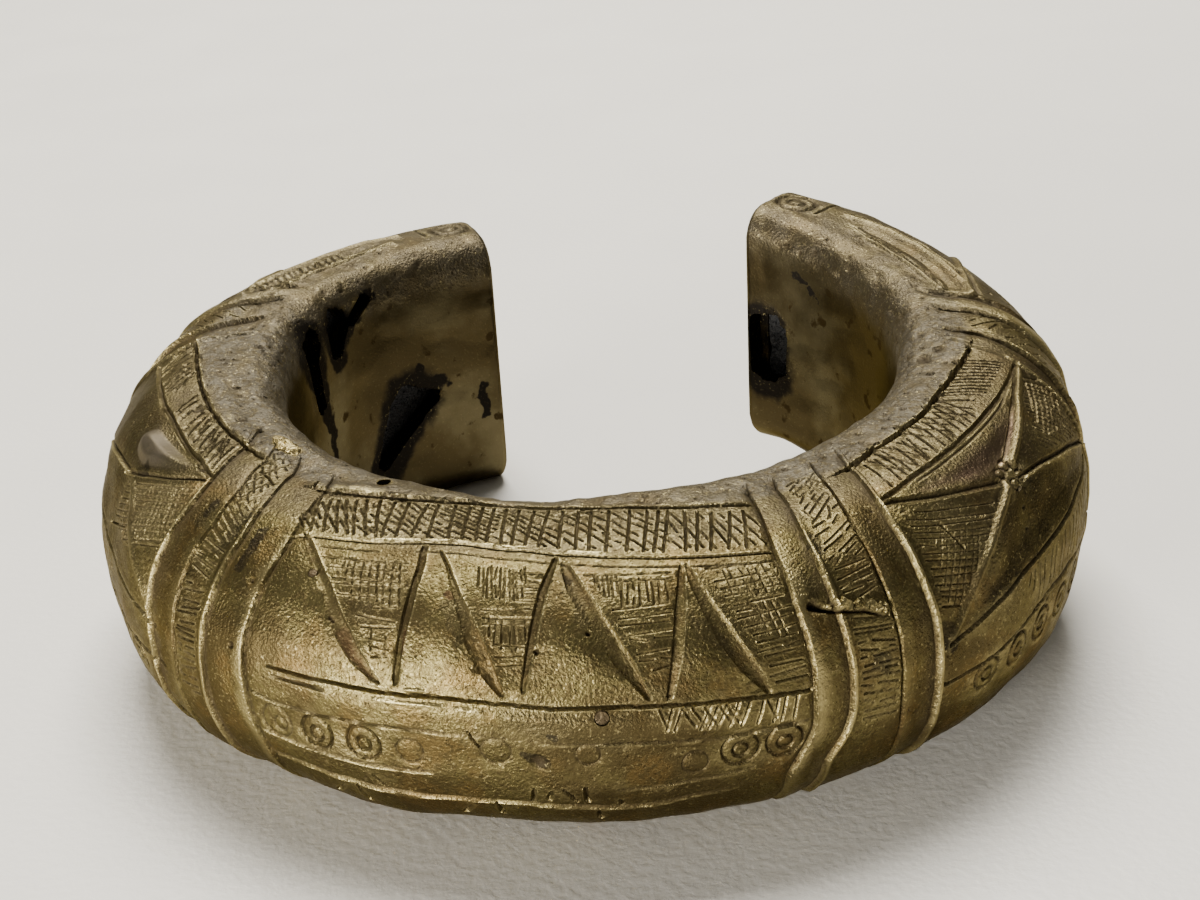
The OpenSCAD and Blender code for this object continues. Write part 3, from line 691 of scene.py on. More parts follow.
def star_crown():
    """What only the right star has: a scraped hollow at the top with a
    bar beside it, and a rosette of rings."""
    dish([STAR_TOP_LEFT, STAR_TOP_RIGHT, STAR_MIDDLE], 0.3, 3.2)
    bar([(81, 70), (74, 67), (68, 60.5), (61.5, 53)], 0.4, 1.2, 0.2)
    groove([(80, 72), (70, 66.5), (64, 60), (61, 56)], 0.4, 0.25, 0.5)
    groove([(48, 69.5), (55, 71), (62, 71.4), (69, 71), (75, 72.5)], 0.2, 0.18, 0.18)
    for turn in np.radians(np.arange(20, 380, 60)):
        ring(STAR_MIDDLE[0] + 1.7 * np.cos(turn), STAR_MIDDLE[1] + 4.6 * np.sin(turn), 0.66, 0.34, 0.5)


def star(side):
    """One star panel; a side of -1 mirrors it. Lines are turned to run to
    the right, so that left means below."""
    def turned(places):
        return mirrored(places, side)[::side]

    rim, top = STAR_RIM[side], STAR_TOP[side]
    if side > 0:
        star_crown()
        groove([STAR_TOP_LEFT, (50, 59), (54, 55), (57.6, 50.5)], 0.5, 0.7, 0.3, lip=(0.5, 0.1))
    else:
        dish(LENS, -0.85, 1.8, soft=0.35)
        groove(LENS_LINE, 0.45, 0.5, 0.25, lip=(0.5, 0.1))
    dish(turned([STAR_LOW_LEFT, STAR_LOW_RIGHT, STAR_MIDDLE]), 0.6 if side > 0 else 0.25, 4.0)
    dish(turned([STAR_TOP_LEFT, STAR_LOW_LEFT, STAR_MIDDLE]), 0.2, 3.0)
    bar(turned([(58, 46), (54, 38.5), (50, 29), (46, 18), (43.2, 8.5)]), 0.25 + 0.1 * side, 1.35, 0.2)
    groove(turned([(61, 46), (66, 43), (70, 39), (75, 33.5), (84, 20)]), 0.5, 0.35, 0.4, lip=(0.8, 0.1))
    groove(top, 0.42, 0.35, 0.35)
    groove(rim, 0.7, 0.3, 0.22, lip=(0.2, 0.6))
    groove(turned(STAR_LOW), 0.35, 0.3, 0.3)
    groove(turned(STAR_FOOT), 0.3, 0.25, 0.25)
    crust(rim, 0.3, 4.0)
    strokes(STAR_STROKES[side], border(rim, -2.5), border(top, 2.5), 0.34, 0.36, (0.12, 0.12), 0.5)
    strokes(STAR_CROSS[side], border(rim, -1.5), border(top, 6), 0.3, 0.34, (0.12, 0.12), 0.5)
    for k, (corners, lean, pitch) in enumerate(STAR_BASKET[side]):
        hatch(corners, lean, pitch, 0.22, 560 + 10 * k + side, 0.3, 0.15, grime=0.45, lip=0.25)
    hatch(mirrored(STAR_SKIRT, side), 90 - side * 14, 1.3, 0.24, 540 + side)
    for a in np.arange(48.5, 77, 5.5):
        double_ring(side * a, -9 + 0.12 * min(a - 48, 12))


for side in (1, -1):
    star(side)
crust(TOP_LINE[:5], 0.3, 3.0)
print("stars done, highest bar", round(float(raised.max()), 2), "mm")

# %% [markdown]
# The arms carry long flutes: ridges that start at the last band and run along the rim to the ends, a
# slanting bar, and beyond it fields of strokes. The back of the cuff is not in the picture; the same
# ornament is carried on there, as it is on other cuffs of this kind. Each arm's top ends in one large
# punched ring.

# %% Arms
RIM_RIDGE = [(106, 93.5), (110, 95), (116, 97), (122, 97.5), (130, 97.5), (135, 97)]
SIDE_RIDGE = [(109, 81), (116, 81), (124, 80.5), (130, 81), (138, 88)]
SLANT_BAR = [(104, 82), (107, 81), (110, 78), (114, 73.5), (118, 65.5), (124, 50), (131, 25)]
ARM_LOW = [(104, 10), (118, 9), (132, 9), (146, 11)]
ARM_FOOT = [(104, -4), (118, -4), (132, -3), (146, -1)]
RIDGES = [(RIM_RIDGE, 0.35, 0.9, 2.4), (SIDE_RIDGE, 0.3, 1.1, 3.2), (SLANT_BAR, 0.4, 1.4, 4)]
FLUTE = [(106, 92), (134, 95), (134, 86), (106, 86)]
ARM_FIELDS = {700: [(124, 68), (146, 76), (147, 16), (137, 16)],
              720: [(104, 62), (108, 62), (122, 40), (128, 16), (104, 14)]}
ARM_SKIRT = [(104, 7), (146, 8), (146, 1), (104, -2)]
END_PLACE, END_RINGS = (147.2, 92), [(2.5, 0.4, 0.8), (1.1, 0.3, 0.6)]
END_LINE = [(142, 97), (142.5, 60), (143, 20)]
LEFT_STROKES = [(-107, 82), (-107, 92), (-126, 97), (-126, 87)]


def arm(side):
    """One arm's ornament; a side of -1 mirrors it. Under each ridge runs a groove."""
    for line, bar_height, width, gap in RIDGES:
        bar(mirrored(line, side), bar_height, width, shine=0.2)
        groove(mirrored([(a, t - gap) for a, t in line], side), 0.34, 0.3, 0.3)
    dish(mirrored(FLUTE, side), 0.35, 1.6)
    for line in (ARM_LOW, ARM_FOOT):
        groove(mirrored(line, side), 0.34, 0.26, 0.26)
    for n, lean in enumerate((90 - side * 50, 90 + side * 40)):
        for seed, field in ARM_FIELDS.items():
            hatch(mirrored(field, side), lean, 1.1, 0.19, seed + n + side, broken=0.5)
    hatch(mirrored(ARM_SKIRT, side), 90 - side * 30, 1.25, 0.22, 740 + side)
    for a in range(106, 147, 5):
        double_ring(side * a, -10, 1.75)
    for radius, depth, width in END_RINGS:
        ring(side * END_PLACE[0], END_PLACE[1], radius, depth, width)
    groove(mirrored(END_LINE, side), 0.35, 0.3, 0.3)


for side in (1, -1):
    arm(side)
hatch(LEFT_STROKES, 70, 1.0, 0.3, 760, width=0.5)
print("arms done, with", len(RIDGES), "ridges each")

# %% [markdown]
# Casting and age left marks that no tool made: a tear across a band where the metal lapped, cracks, and
# pits from bubbles, most of them on the rim, where the metal filled last. The pits are drawn from a seeded
# generator, so each run gives the same ones. Slow waves over the whole skin take away the look of a
# machine-made form.

# %% Flaws and wear
TEAR = [(28.3, 37.5), (29.3, 35.2), (30.4, 33.4), (32, 31.6), (33.6, 30), (35.3, 26.5)]
TEAR_DEPTHS = [1.3, 1.1, 0.5, 0.4, 0.45, 0.2]
TEAR_LEFT, TEAR_RIGHT = [0.55, 0.35, 0.22, 0.2, 0.2, 0.2], [0.5, 0.3, 0.22, 0.2, 0.2, 0.2]
TORN_LIP = [(30.3, 36), (31.6, 35), (33, 33.8), (34.4, 31.8), (35.7, 29)]
CRACKS = [[(-30.5, 89), (-32, 88.6), (-33, 92)], [(-41, 85), (-39, 84.6), (-37, 83)],
          [(-4.1, 5), (-3.7, 2.6), (-3.2, 0.6)], [(-14, -14), (-13.2, -18), (-12.6, -20.5), (-10.5, -22)],
          [(46.2, 50), (46.6, 46), (47.6, 36)], [(-60, 21), (-56, 26.5), (-53, 30.5)],
          [(-63, 88), (-63.8, 86), (-64.5, 84)], [(-50, 73), (-48.4, 71.4), (-47.2, 72)]]
BIG_PITS = [(79.8, 107, 0.75), (81, 108.5, 0.8), (83.6, 102.5, 0.6), (74.5, 102, 0.5), (67.1, 91.5, 0.55),
            (-56.8, 96, 0.7), (-64, 84.6, 0.7), (-48, 72, 0.5), (-52, 99, 0.45), (-18.5, 38, 0.35),
            (-18.1, 37, 0.25), (2, -2.5, 0.8), (28.5, 37.2, 0.75), (29.1, 35.9, 0.55), (7, 40, 0.3),
            (2.2, 33.5, 0.3), (-29.3, 17, 0.4), (-28.8, 43, 0.35), (-69, 100.5, 0.4), (-85, 109, 0.5)]


def pit(a, t, radius, depth, grime=0.8):
    """A bubble hole: a round bowl with a soft edge, dark at the bottom."""
    where = window([(a, t), (a, t)], radius + 0.3)
    bowl = ease(1.3 - np.hypot(*offsets(where, (a, t))) / radius)
    stamp(sunk, where, depth * bowl)
    stamp(dirt, where, grime * bowl)


def scatter_pits(count, low, high, sizes, seed):
    """Pits at random places between two section angles, over the whole arc."""
    rng = np.random.default_rng(seed)
    ranges = ((-148, 148), (low, high), sizes)
    for a, t, size in zip(*[rng.uniform(*ends, count) for ends in ranges]):
        pit(a, t, size, 0.7 * size)


groove(TEAR, TEAR_DEPTHS, TEAR_LEFT, TEAR_RIGHT, grime=1.0)
fold(TORN_LIP, 0.42, 1.0)
for crack in CRACKS:
    groove(crack, 0.4, 0.16, 0.16)
scatter_pits(280, 92, 128, (0.18, 0.4), 41)
scatter_pits(120, -20, 92, (0.16, 0.28), 42)
for a, t, size in BIG_PITS:
    pit(a, t, size, 0.45, grime=1.0)
rim_start = np.interp(ARC, *np.transpose(STAR_RIM[-1] + TOP_LINE + STAR_RIM[1]))[:, None]
on_rim = ease((ROUND - rim_start) / 3) * ease((142 - ROUND) / 14)
form += 0.16 * waves(skin[BODY], 17, 51) + 0.06 * waves(skin[BODY], 5, 52)
form += on_rim * 0.06 * waves(skin[BODY], 2.6, 53)
print("pits and waves added")

# %% [markdown]
# The finish needs to know where it is: on the rim, inside the arm opening, in a smooth hollow field. These
# are more arrays on the same grid. They go into the mesh as point attributes, which a material can read.
# Small stains are left to the material itself, because the plain metal under them will keep few points.

# %% Zones of the finish
ZONE_NAMES = ("rim", "dulled_and_shaded", "inside", "pink", "lens", "soot_and_shade", "copper")
zones = {name: np.zeros(grid_shape) for name in ZONE_NAMES}
zones.update(dirt=dirt, bright=bright)
from_front = np.abs(ARC)[:, None]
COPPER_FACET = [(-17.9, 34), (-16.3, 36), (-12.6, 17.5), (-13.8, 18.5), (-16.4, 26)]


def tint(zone, corners, strength, run=1.6):
    """Fills a field evenly, up to its soft edge."""
    where, inside = depth_inside(corners)
    stamp(zones[zone], where, strength * ease(inside / run))


greyer = (0.45 + 0.55 * ease((from_front - 15) / 25)) * (1 - 0.75 * ease((from_front - 88) / 22))
zones["rim"][:] = on_rim * greyer
# Dull brown on the arms and, at half strength, on the sides. Along the top, from the hatch strip over the
# rim, it is painted shade.
zones["dulled_and_shaded"][:] = ease((from_front - 90) / 16) * ease((ROUND - 60) / 14)
stamp(zones["dulled_and_shaded"], ..., 0.5 * ease((from_front - 42) / 8) * ease((ROUND + 20) / 25))
stamp(zones["dulled_and_shaded"], ..., 0.8 * ease((ROUND - 68) / 10))
zones["inside"][:] = ease((ROUND - 124) / 14)
# Soot on each star's lower triangle, laid stronger on the right, where it is partly painted shade.
for side, strength in ((1, 0.75), (-1, 0.15)):
    tint("soot_and_shade", mirrored([(43, 7), (82.5, 21), STAR_MIDDLE], side), strength)
tint("pink", [STAR_TOP_LEFT, STAR_TOP_RIGHT, STAR_MIDDLE], 1.0)
tint("lens", LENS, 1.0, 0.7)
tint("copper", COPPER_FACET, 1.0, 0.3)
zones["pink"] *= 1 - covered
# The lens's pale grey is a painted highlight, strongest at its left end.
zones["lens"] *= (0.25 + 0.75 * ease((-51 - ARC) / 7))[:, None]
print("zones", sorted(zones))

# %% [markdown]
# Now the heights move the skin. The grid has over a million triangles, most of them on plain metal, so
# Decimate thins it to what one piece may have; it keeps the points where the surface bends, which is along
# the cuts.

# %% The casting's skin
SKIN_TRIANGLES = 178000


def closed_mesh(name, points, fields=None):
    """Triangles over a grid whose columns close round, with a fan to a pole at each end. If the signed
    volume, the sum of each triangle's wedge to the origin, comes out below 0, the faces are turned over."""
    rows, columns = points.shape[:2]
    index = np.arange(rows * columns).reshape(rows, columns)
    after = np.roll(index, -1, axis=1)
    poles = np.full((2, columns), rows * columns) + [[0], [1]]
    faces = np.concatenate([
        np.stack([index[:-1], index[1:], after[1:]], -1).reshape(-1, 3),
        np.stack([index[:-1], after[1:], after[:-1]], -1).reshape(-1, 3),
        np.stack([index[0], after[0], poles[0]], -1), np.stack([after[-1], index[-1], poles[1]], -1)])
    places = np.concatenate([points.reshape(-1, 3), [points[0].mean(0), points[-1].mean(0)]]) * MM
    p, q, r = (places[faces[:, k]] for k in range(3))
    if np.einsum("ij,ij->", p, np.cross(q, r)) < 0:
        faces = faces[:, ::-1]
    mesh = bpy.data.meshes.new(name)
    mesh.vertices.add(len(places))
    mesh.vertices.foreach_set("co", places.astype(np.float32).ravel())
    mesh.loops.add(faces.size)
    mesh.loops.foreach_set("vertex_index", faces.astype(np.int32).ravel())
    mesh.polygons.add(len(faces))
    mesh.polygons.foreach_set("loop_start", np.arange(0, faces.size, 3, dtype=np.int32))
    mesh.update(calc_edges=True)
    for field, values in (fields or {}).items():
        flat = np.concatenate([values.ravel(), [values[0].mean(), values[-1].mean()]])
        mesh.attributes.new(field, "FLOAT", "POINT").data.foreach_set("value", flat.astype(np.float32))
    return in_scene(name, mesh)


def settle(piece):
    """Makes the modifiers' result the piece's own mesh, so nothing is left live."""
    bpy.context.view_layer.update()
    result = bpy.data.meshes.new_from_object(piece.evaluated_get(bpy.context.evaluated_depsgraph_get()))
    piece.modifiers.clear()
    piece.data = result
    result.name = piece.name
    return len(result.polygons)


relief = np.zeros(skin.shape[:2])
relief[BODY] = form + raised + (burr - sunk) * (1 - covered)
dirt *= 1 - 0.7 * covered
relief[BODY] *= ease((ARM - np.abs(ARC)) / 1.5)[:, None]
moved = np.clip(skin + skin_normals * relief[..., None], BOX_LOW, BOX_HIGH)
padded = {name: np.pad(field, ((CAP_ROWS, CAP_ROWS), (0, 0)), mode="edge") for name, field in zones.items()}
shell = closed_mesh("brass_casting", moved, padded)
full = len(shell.data.polygons)
shell.modifiers.new("thin", "DECIMATE").ratio = SKIN_TRIANGLES / full
print("skin thinned from", full, "to", settle(shell), "triangles")

# %% [markdown]
# The casting is hollow. Its cavity follows the outside at the thickness of the wall, and the flaws in the
# inner wall open into it. A flaw's outline is drawn round two discs and roughened. Boolean modifiers cut
# the cavity, the flaws and the pins' holes one after the other, each with a closed surface of its own.

# %% Cavity and openings
WALL, CAVITY_END = 2.6, 149.7
MM_PER_DEGREE = 0.63
FLAWS = [[(-101, 0.86, 4.4), (-101, 0.8, 2.8)], [(-101, 0.8, 2.8), (-101.5, 0.62, 2.4)],
         [(-111, 0.87, 4.4), (-110.5, 0.77, 2.4)], [(-120.5, 0.9, 1.8), (-116, 0.85, 1.8)],
         [(-129, 0.42, 6.4), (-121, 0.24, 2.4)], [(-129, 0.42, 6.4), (-136, 0.44, 2.4)],
         [(146.8, 0.59, 6.0), (146.8, 0.49, 6.0)]]
RIM_HOLE = (-24.8, 1.6)


def lining(name, inset, end, rows, turn_step, lumps=0.0):
    """A closed surface parallel to the casting's outside, at a distance
    inside it, with lumps pressed inwards."""
    a, t = np.linspace(-end, end, rows)[:, None], np.arange(-90, 270, turn_step)[None, :]
    plain = placed(a, *section(a, t, inset))
    if lumps:
        noise = waves(plain, 3.2, 71) + 0.7 * waves(plain, 1.4, 72)
        plain = plain - normals(plain) * (lumps * ease(noise * 0.3 + 0.5))[..., None]
    return closed_mesh(name, plain)


def flaw(name, ends, seed):
    """A cutter through the inner wall: the outline round two discs, in every direction the rim of the farther
    one, roughened by waves and carried from inside the arm opening into the cavity."""
    turn = np.linspace(0, 2 * np.pi, 60, endpoint=False)
    way = np.stack([np.cos(turn), np.sin(turn)])
    discs = np.array([(a * MM_PER_DEGREE, share * float(height(a)), width / 2)
                      for a, share, width in ends])
    pick = (discs[:, :2] @ way + discs[:, 2:]).argmax(0)
    outline = discs[pick, :2] + discs[pick, 2:] * way.T
    wobble = np.concatenate([outline, np.zeros((len(outline), 1))], 1)
    rough = 0.22 * waves(wobble, 2.0, seed) + 0.12 * waves(wobble, 0.8, seed + 1)
    outline = outline + way.T * rough[:, None]
    depth = np.array([-1.2, 0.4, 1.5, WALL + 0.4])[:, None]
    return closed_mesh(name, placed(outline[None, :, 0] / MM_PER_DEGREE, depth, outline[None, :, 1]))


def lathe(name, profile, place, axis, columns=28):
    """A profile of radius and height, turned round an axis that stands on a place."""
    axis = np.array(axis, float)
    side = np.cross(axis, [0.3, 0.5, 0.81])
    side /= np.linalg.norm(side)
    turn = np.linspace(0, 2 * np.pi, columns, endpoint=False)
    spoke = np.cos(turn)[:, None] * side + np.sin(turn)[:, None] * np.cross(axis, side)
    profile = np.array(profile, float)
    return closed_mesh(name, place + profile[:, :1, None] * spoke[None] + profile[:, 1:, None] * axis)


def on_skin(a, t):
    """The place and the outward direction of the skin at two angles, without the tool marks."""
    i, j = np.abs(ARC - a).argmin(), np.abs(ROUND - t).argmin()
    return skin[BODY][i, j] + form[i, j] * skin_normals[BODY][i, j], skin_normals[BODY][i, j]


def cut_away(piece, cutters):
    """Takes each cutter's volume out of the piece, then removes the cutters."""
    for cutter in cutters:
        modifier = piece.modifiers.new("cut", "BOOLEAN")
        modifier.operation, modifier.solver, modifier.object = "DIFFERENCE", "MANIFOLD", cutter
    left = settle(piece)
    for cutter in cutters:
        bpy.data.objects.remove(cutter)
    return left


PINS = [(-22.3, 53.5, 0.5), (7.9, 10.1, 0.75), (-75, -30, 0.7), (75, -30, 0.7), (-126, 10, 0.7),
        (126, 10, 0.7)]
PIN_R, PIN_LENGTH, PIN_FIT, PIN_SINK, PIN_NECK, PIN_WAIST = 1.2, 9.0, 0.1, 0.02, 1.6, 4
TIP_FIT = 0.005


def pin_holes():
    """One cutter for each pin, a little wider and longer than the pin, and
    narrower near the skin, as the pin is."""
    holes, r = [], PIN_R + PIN_FIT
    for a, t, tip in PINS:
        profile = [(r, -PIN_LENGTH - 0.3), (r, -PIN_WAIST), (r, -2 * PIN_NECK), (tip + TIP_FIT, -PIN_NECK),
                   (tip + TIP_FIT, 2)]
        holes.append(lathe("hole", profile, *on_skin(a, t)))
    return holes


hole_a, hole_w = RIM_HOLE
hole_top = placed(hole_a, CORNER_R, height(hole_a))
hole_profile = [(hole_w / 2, -3.2), (0.9 * hole_w / 2, -1.2), (hole_w / 2, 1)]
rim_hole = lathe("rim_hole", hole_profile, hole_top, (0, 0, 1))
cutters = [lining("cavity", WALL, CAVITY_END, 150, 8.0), rim_hole]
cutters += [flaw("flaw", ends, 80 + 2 * k) for k, ends in enumerate(FLAWS)]
print("casting after cutting", cut_away(shell, cutters + pin_holes()), "triangles")

# %% [markdown]
# Inside is what the brass was poured round: a core of clay and charcoal, burnt black and left where it
# was. It shows only through the flaws, so it needs a rough skin close behind the wall and no more.

# %% Core and pins
CORE_GAP = 0.25
core = lining("burnt_core", WALL + CORE_GAP, CAVITY_END - 0.3, 330, 4.2, lumps=0.7)
print("core", cut_away(core, pin_holes()), "triangles")


def pin(a, t, tip):
    """A nail of iron: blunt inside, a neck under the skin, and an end that was filed off with the brass."""
    profile = [(0.75, -PIN_LENGTH), (PIN_R, -PIN_LENGTH + 0.5), (PIN_R, -PIN_WAIST),
               (PIN_R, -2 * PIN_NECK - 0.1), (tip, -PIN_NECK - 0.1), (tip, -PIN_SINK - 0.2),
               (0.9 * tip, -PIN_SINK), (0.3 * tip, -PIN_SINK + 0.03)]
    return lathe("core_pin", profile, *on_skin(a, t))


pins = [pin(*place) for place in PINS]
with bpy.context.temp_override(active_object=pins[0], selected_editable_objects=pins):
    bpy.ops.object.join()
pins = pins[0]
pins.name = "iron_core_pins"
print("pins", len(pins.data.polygons), "triangles")

# %% [markdown]
# Someone once closed a hole in the rim by burning on a drop of yellower brass. It stands on the rim as a
# low lump, higher at its left end, and keeps a dark seam round its foot.

# %% Patch on the rim
PATCH_A, PATCH_LENGTH, PATCH_W, PATCH_H, PATCH_SEAT = -44.5, 4.2, 2.2, 1.3, 0.4


def patch_surface(grow=0.0):
    """An oval lump: rings drawn in with height as a quarter ellipse,
    shifted to the left as they rise, lumpy."""
    rise = np.linspace(0, 1, 14)[:, None]
    turn = np.linspace(0, 2 * np.pi, 40, endpoint=False)[None, :]
    draw = np.sqrt(np.maximum(1 - np.maximum(rise - 0.25, 0) ** 2 / 0.5625, 0.004))
    along = (PATCH_LENGTH / 2 + grow) * np.cos(turn) * draw - 0.7 * rise
    across = (PATCH_W / 2 + grow) * np.sin(turn) * draw
    up = (PATCH_H * (1 - 0.22 * np.cos(turn) * rise)) * rise + grow - PATCH_SEAT
    spin, foot = np.radians(PATCH_A), CORNER_R + PATCH_W / 2
    base = placed(PATCH_A, foot, height(PATCH_A))
    points = np.stack(np.broadcast_arrays(along * np.cos(spin) - across * np.sin(spin),
                                          along * np.sin(spin) + across * np.cos(spin), up), -1)
    lumps = 0.0 if grow else 0.16 * waves(points, 1.3, 91)[..., None] * (rise > 0.2)[..., None]
    return base + points * (1 + lumps)


seat = closed_mesh("seat", patch_surface(0.06))
cut_away(shell, [seat])
patch = closed_mesh("rim_patch_lump", patch_surface())
patch.modifiers.new("round", "SUBSURF").levels = 1
patch.modifiers["round"].render_levels = 1
settle(patch)
print("patch", len(patch.data.polygons), "faces; casting", len(shell.data.polygons))

# %% [markdown]
# All four materials are mottled and pitted, so these effects are node groups, built once. Mottle turns
# noise into a mask between two levels. Pits takes the distance to scattered points and keeps the nearest
# part of it. Stain is a soft spot drawn out from one place to another, for soot and discoloured metal.
# They read Object coordinates, which are metres here, so a scale of 1000 means features about a millimetre
# wide.

# %% Shared effects
def group(name, inputs, outputs):
    """An empty node group. A default of three numbers makes a vector input, a single one a float; outputs are
    floats."""
    tree = bpy.data.node_groups.new(name, "ShaderNodeTree")
    for socket, default in inputs.items():
        kind = "NodeSocketVector" if isinstance(default, tuple) else "NodeSocketFloat"
        tree.interface.new_socket(socket, in_out="INPUT", socket_type=kind).default_value = default
    for socket in outputs:
        tree.interface.new_socket(socket, in_out="OUTPUT", socket_type="NodeSocketFloat")
    return tree, tree.nodes.new("NodeGroupInput"), tree.nodes.new("NodeGroupOutput")


def add(tree, kind, links=None, values=None, **settings):
    """A node with its settings, its inputs' values, and links from other sockets into its inputs."""
    node = tree.nodes.new(kind)
    for key, value in settings.items():
        setattr(node, key, value)
    for key, value in (values or {}).items():
        node.inputs[key].default_value = value
    for key, socket in (links or {}).items():
        tree.links.new(socket, node.inputs[key])
    return node


def soft_step(tree, links, values=None):
    """A smooth step of a value between two levels."""
    node = add(tree, "ShaderNodeMapRange", links, values, interpolation_type="SMOOTHSTEP")
    return node.outputs["Result"]


mottle, given, put = group("mottle", {"Scale": 200, "Detail": 4, "Low": 0.4, "High": 0.6}, ["Mask"])
place = add(mottle, "ShaderNodeTexCoord").outputs["Object"]
noise = add(mottle, "ShaderNodeTexNoise", {"Vector": place, "Scale": given.outputs["Scale"],
                                           "Detail": given.outputs["Detail"]})
level = soft_step(mottle, {"Value": noise.outputs["Fac"], "From Min": given.outputs["Low"],
                           "From Max": given.outputs["High"]})
mottle.links.new(level, put.inputs["Mask"])

pits, given, put = group("pits", {"Scale": 900, "Reach": 0.3}, ["Mask"])
place = add(pits, "ShaderNodeTexCoord").outputs["Object"]
cells = add(pits, "ShaderNodeTexVoronoi", {"Vector": place, "Scale": given.outputs["Scale"]})
level = soft_step(pits, {"Value": cells.outputs["Distance"], "From Max": given.outputs["Reach"]},
                  {"From Min": 0.0, "To Min": 1.0, "To Max": 0.0})
pits.links.new(level, put.inputs["Mask"])

stain, given, put = group("stain", {"Place": (0, 0, 0), "From": (0, 0, 0), "To": (0, 0, 0), "Radius": 0.001,
                                    "Far Radius": 0.001}, ["Mask"])


def vectors(operation, a, b, output="Vector"):
    """Arithmetic on two vectors, inside the stain group."""
    node = add(stain, "ShaderNodeVectorMath", {0: a, 1: b}, operation=operation)
    return node.outputs[output]


start = given.outputs["From"]
run, off = vectors("SUBTRACT", given.outputs["To"], start), vectors("SUBTRACT", given.outputs["Place"], start)
dots = {k: vectors("DOT_PRODUCT", run, other, "Value") for k, other in enumerate((off, run))}
share = add(stain, "ShaderNodeMath", dots, operation="DIVIDE", use_clamp=True)
nearest = add(stain, "ShaderNodeVectorMath", {0: run, "Scale": share.outputs[0]}, operation="SCALE")
radius = add(stain, "ShaderNodeMix", {"Factor": share.outputs[0], 2: given.outputs["Radius"],
                                      3: given.outputs["Far Radius"]}, data_type="FLOAT")
distance = vectors("DISTANCE", off, nearest.outputs["Vector"], "Value")
inner = add(stain, "ShaderNodeMath", {0: radius.outputs[0]}, {1: 0.7}, operation="MULTIPLY")
level = soft_step(stain, {"Value": distance, "From Min": inner.outputs[0], "From Max": radius.outputs[0]},
                  {"To Min": 1.0, "To Max": 0.0})
stain.links.new(level, put.inputs["Mask"])
print("groups", mottle.name, pits.name, stain.name)

# %% [markdown]
# Old brass is not one colour. Where hands rub it, it is pale and shiny; where they don't reach, it is
# brown; dirt in the lines is nearly black and dull. The finish starts from mottled brass and lays each
# zone over it, the widest first: inner wall, whose dark brown is patina and painted shade, rim, scraped
# fields, the lens with a painted highlight, copper-red, soot with painted shade on the right star, and at
# last dirt, painted glints and worn edges, with painted highlights on the glint bars.

# %% The casting's finish
PLAIN_BRASS, BROWN_BRASS = (0.117, 0.095, 0.037, 1), (0.071, 0.053, 0.022, 1)
PALE_BRASS, WARM_BROWN = (0.6, 0.5, 0.23, 1), (0.125, 0.082, 0.029, 1)
INNER_PATINA_AND_SHADE, INNER_PALE = (0.057, 0.043, 0.019, 1), (0.115, 0.096, 0.05, 1)
RIM_GREY, RIM_CRUST = (0.071, 0.061, 0.042, 1), (0.107, 0.094, 0.068, 1)
PINK_FIELD, LENS_HIGHLIGHT_GREY = (0.115, 0.078, 0.052, 1), (0.142, 0.122, 0.093, 1)
COPPER_RED, DULL_AND_SHADE_BROWN = (0.068, 0.042, 0.019, 1), (0.08, 0.066, 0.041, 1)
SMEAR, SOOT_AND_SHADE_BLACK, DIRT_BROWN = (0.075, 0.06, 0.028, 1), (0.014, 0.012, 0.01, 1), (0.034, 0.023, 0.009, 1)
GLOSS_TINT = (0.5, 0.47, 0.4, 1)
BASE_ROUGH = 0.37
OUTER_SOOT = [((-35.2, 65), (-35, 49), 1.2, 1.0), ((-31.6, 64), (-31.3, 48), 0.9, 0.9),
              ((-40.4, 65), (-40.2, 60), 0.8, 0.6), ((31.2, 63), (31.5, 57), 0.9, 0.7),
              ((34.5, 11), (35, 8), 1.2, 0.9), ((42.6, 12), (43.5, 6), 0.9, 1.3),
              ((1.4, -1), (2.6, -3.5), 0.9, 0.8), ((3.2, 4.8), (3.6, 4.2), 0.6, 0.5),
              ((4.6, 66), (5, 62), 0.5, 0.7), ((-57, 53), (-58, 50), 1.4, 1.0),
              ((17, 84), (19, 78), 1.2, 1.6), ((22, 80), (23, 74), 1.3, 0.9)]
COPPER_STAINS = [((-10.4, 38), (-10.3, 30), 0.35, 0.35), ((-6.9, 54), (-6.5, 53), 0.5, 0.4)]
SMEARS = [((-39, 66), (-40.5, 56), 1.5, 1.2), ((-34, 74), (-36, 66), 1.2, 1.6),
          ((-37, 40), (-38, 20), 1.0, 1.4), ((-6, 48), (-4.4, 38), 1.3, 1.0),
          ((1, 11), (8.5, 4), 2.4, 2.6), ((17.8, 39), (19.4, 28), 1.3, 1.0),
          ((5.2, 58), (6.6, 46), 1.0, 0.9), ((-17.5, 60), (-18.6, 62), 1.2, 0.8),
          ((-15.6, 44), (-14.5, 41), 1.2, 0.9), ((-29.5, 40), (-28.6, 24), 1.0, 0.8),
          ((28.5, 50), (28.8, 40), 0.8, 0.8)]
INNER_SOOT = [((-100, 0.86), (-101.5, 0.74), 4.4, 3.0), ((-102, 0.74), (-104, 0.5), 2.6, 1.0),
              ((-104, 0.5), (-105, 0.3), 1.0, 0.7), ((-110.5, 0.86), (-110.5, 0.72), 3.6, 1.6),
              ((-114.5, 0.83), (-121, 0.91), 1.5, 1.7), ((-130, 0.45), (-121, 0.2), 5.6, 3.4),
              ((-130, 0.45), (-139, 0.49), 4.2, 1.2), ((-147.8, 0.43), (-148, 0.3), 0.9, 0.8),
              ((-133, 0.57), (-133.4, 0.55), 0.9, 0.8), ((148, 0.6), (147, 0.44), 4.6, 4.4),
              ((139.5, 0.84), (136.8, 0.835), 0.7, 0.45), ((135.8, 0.82), (133.4, 0.785), 0.45, 0.35)]


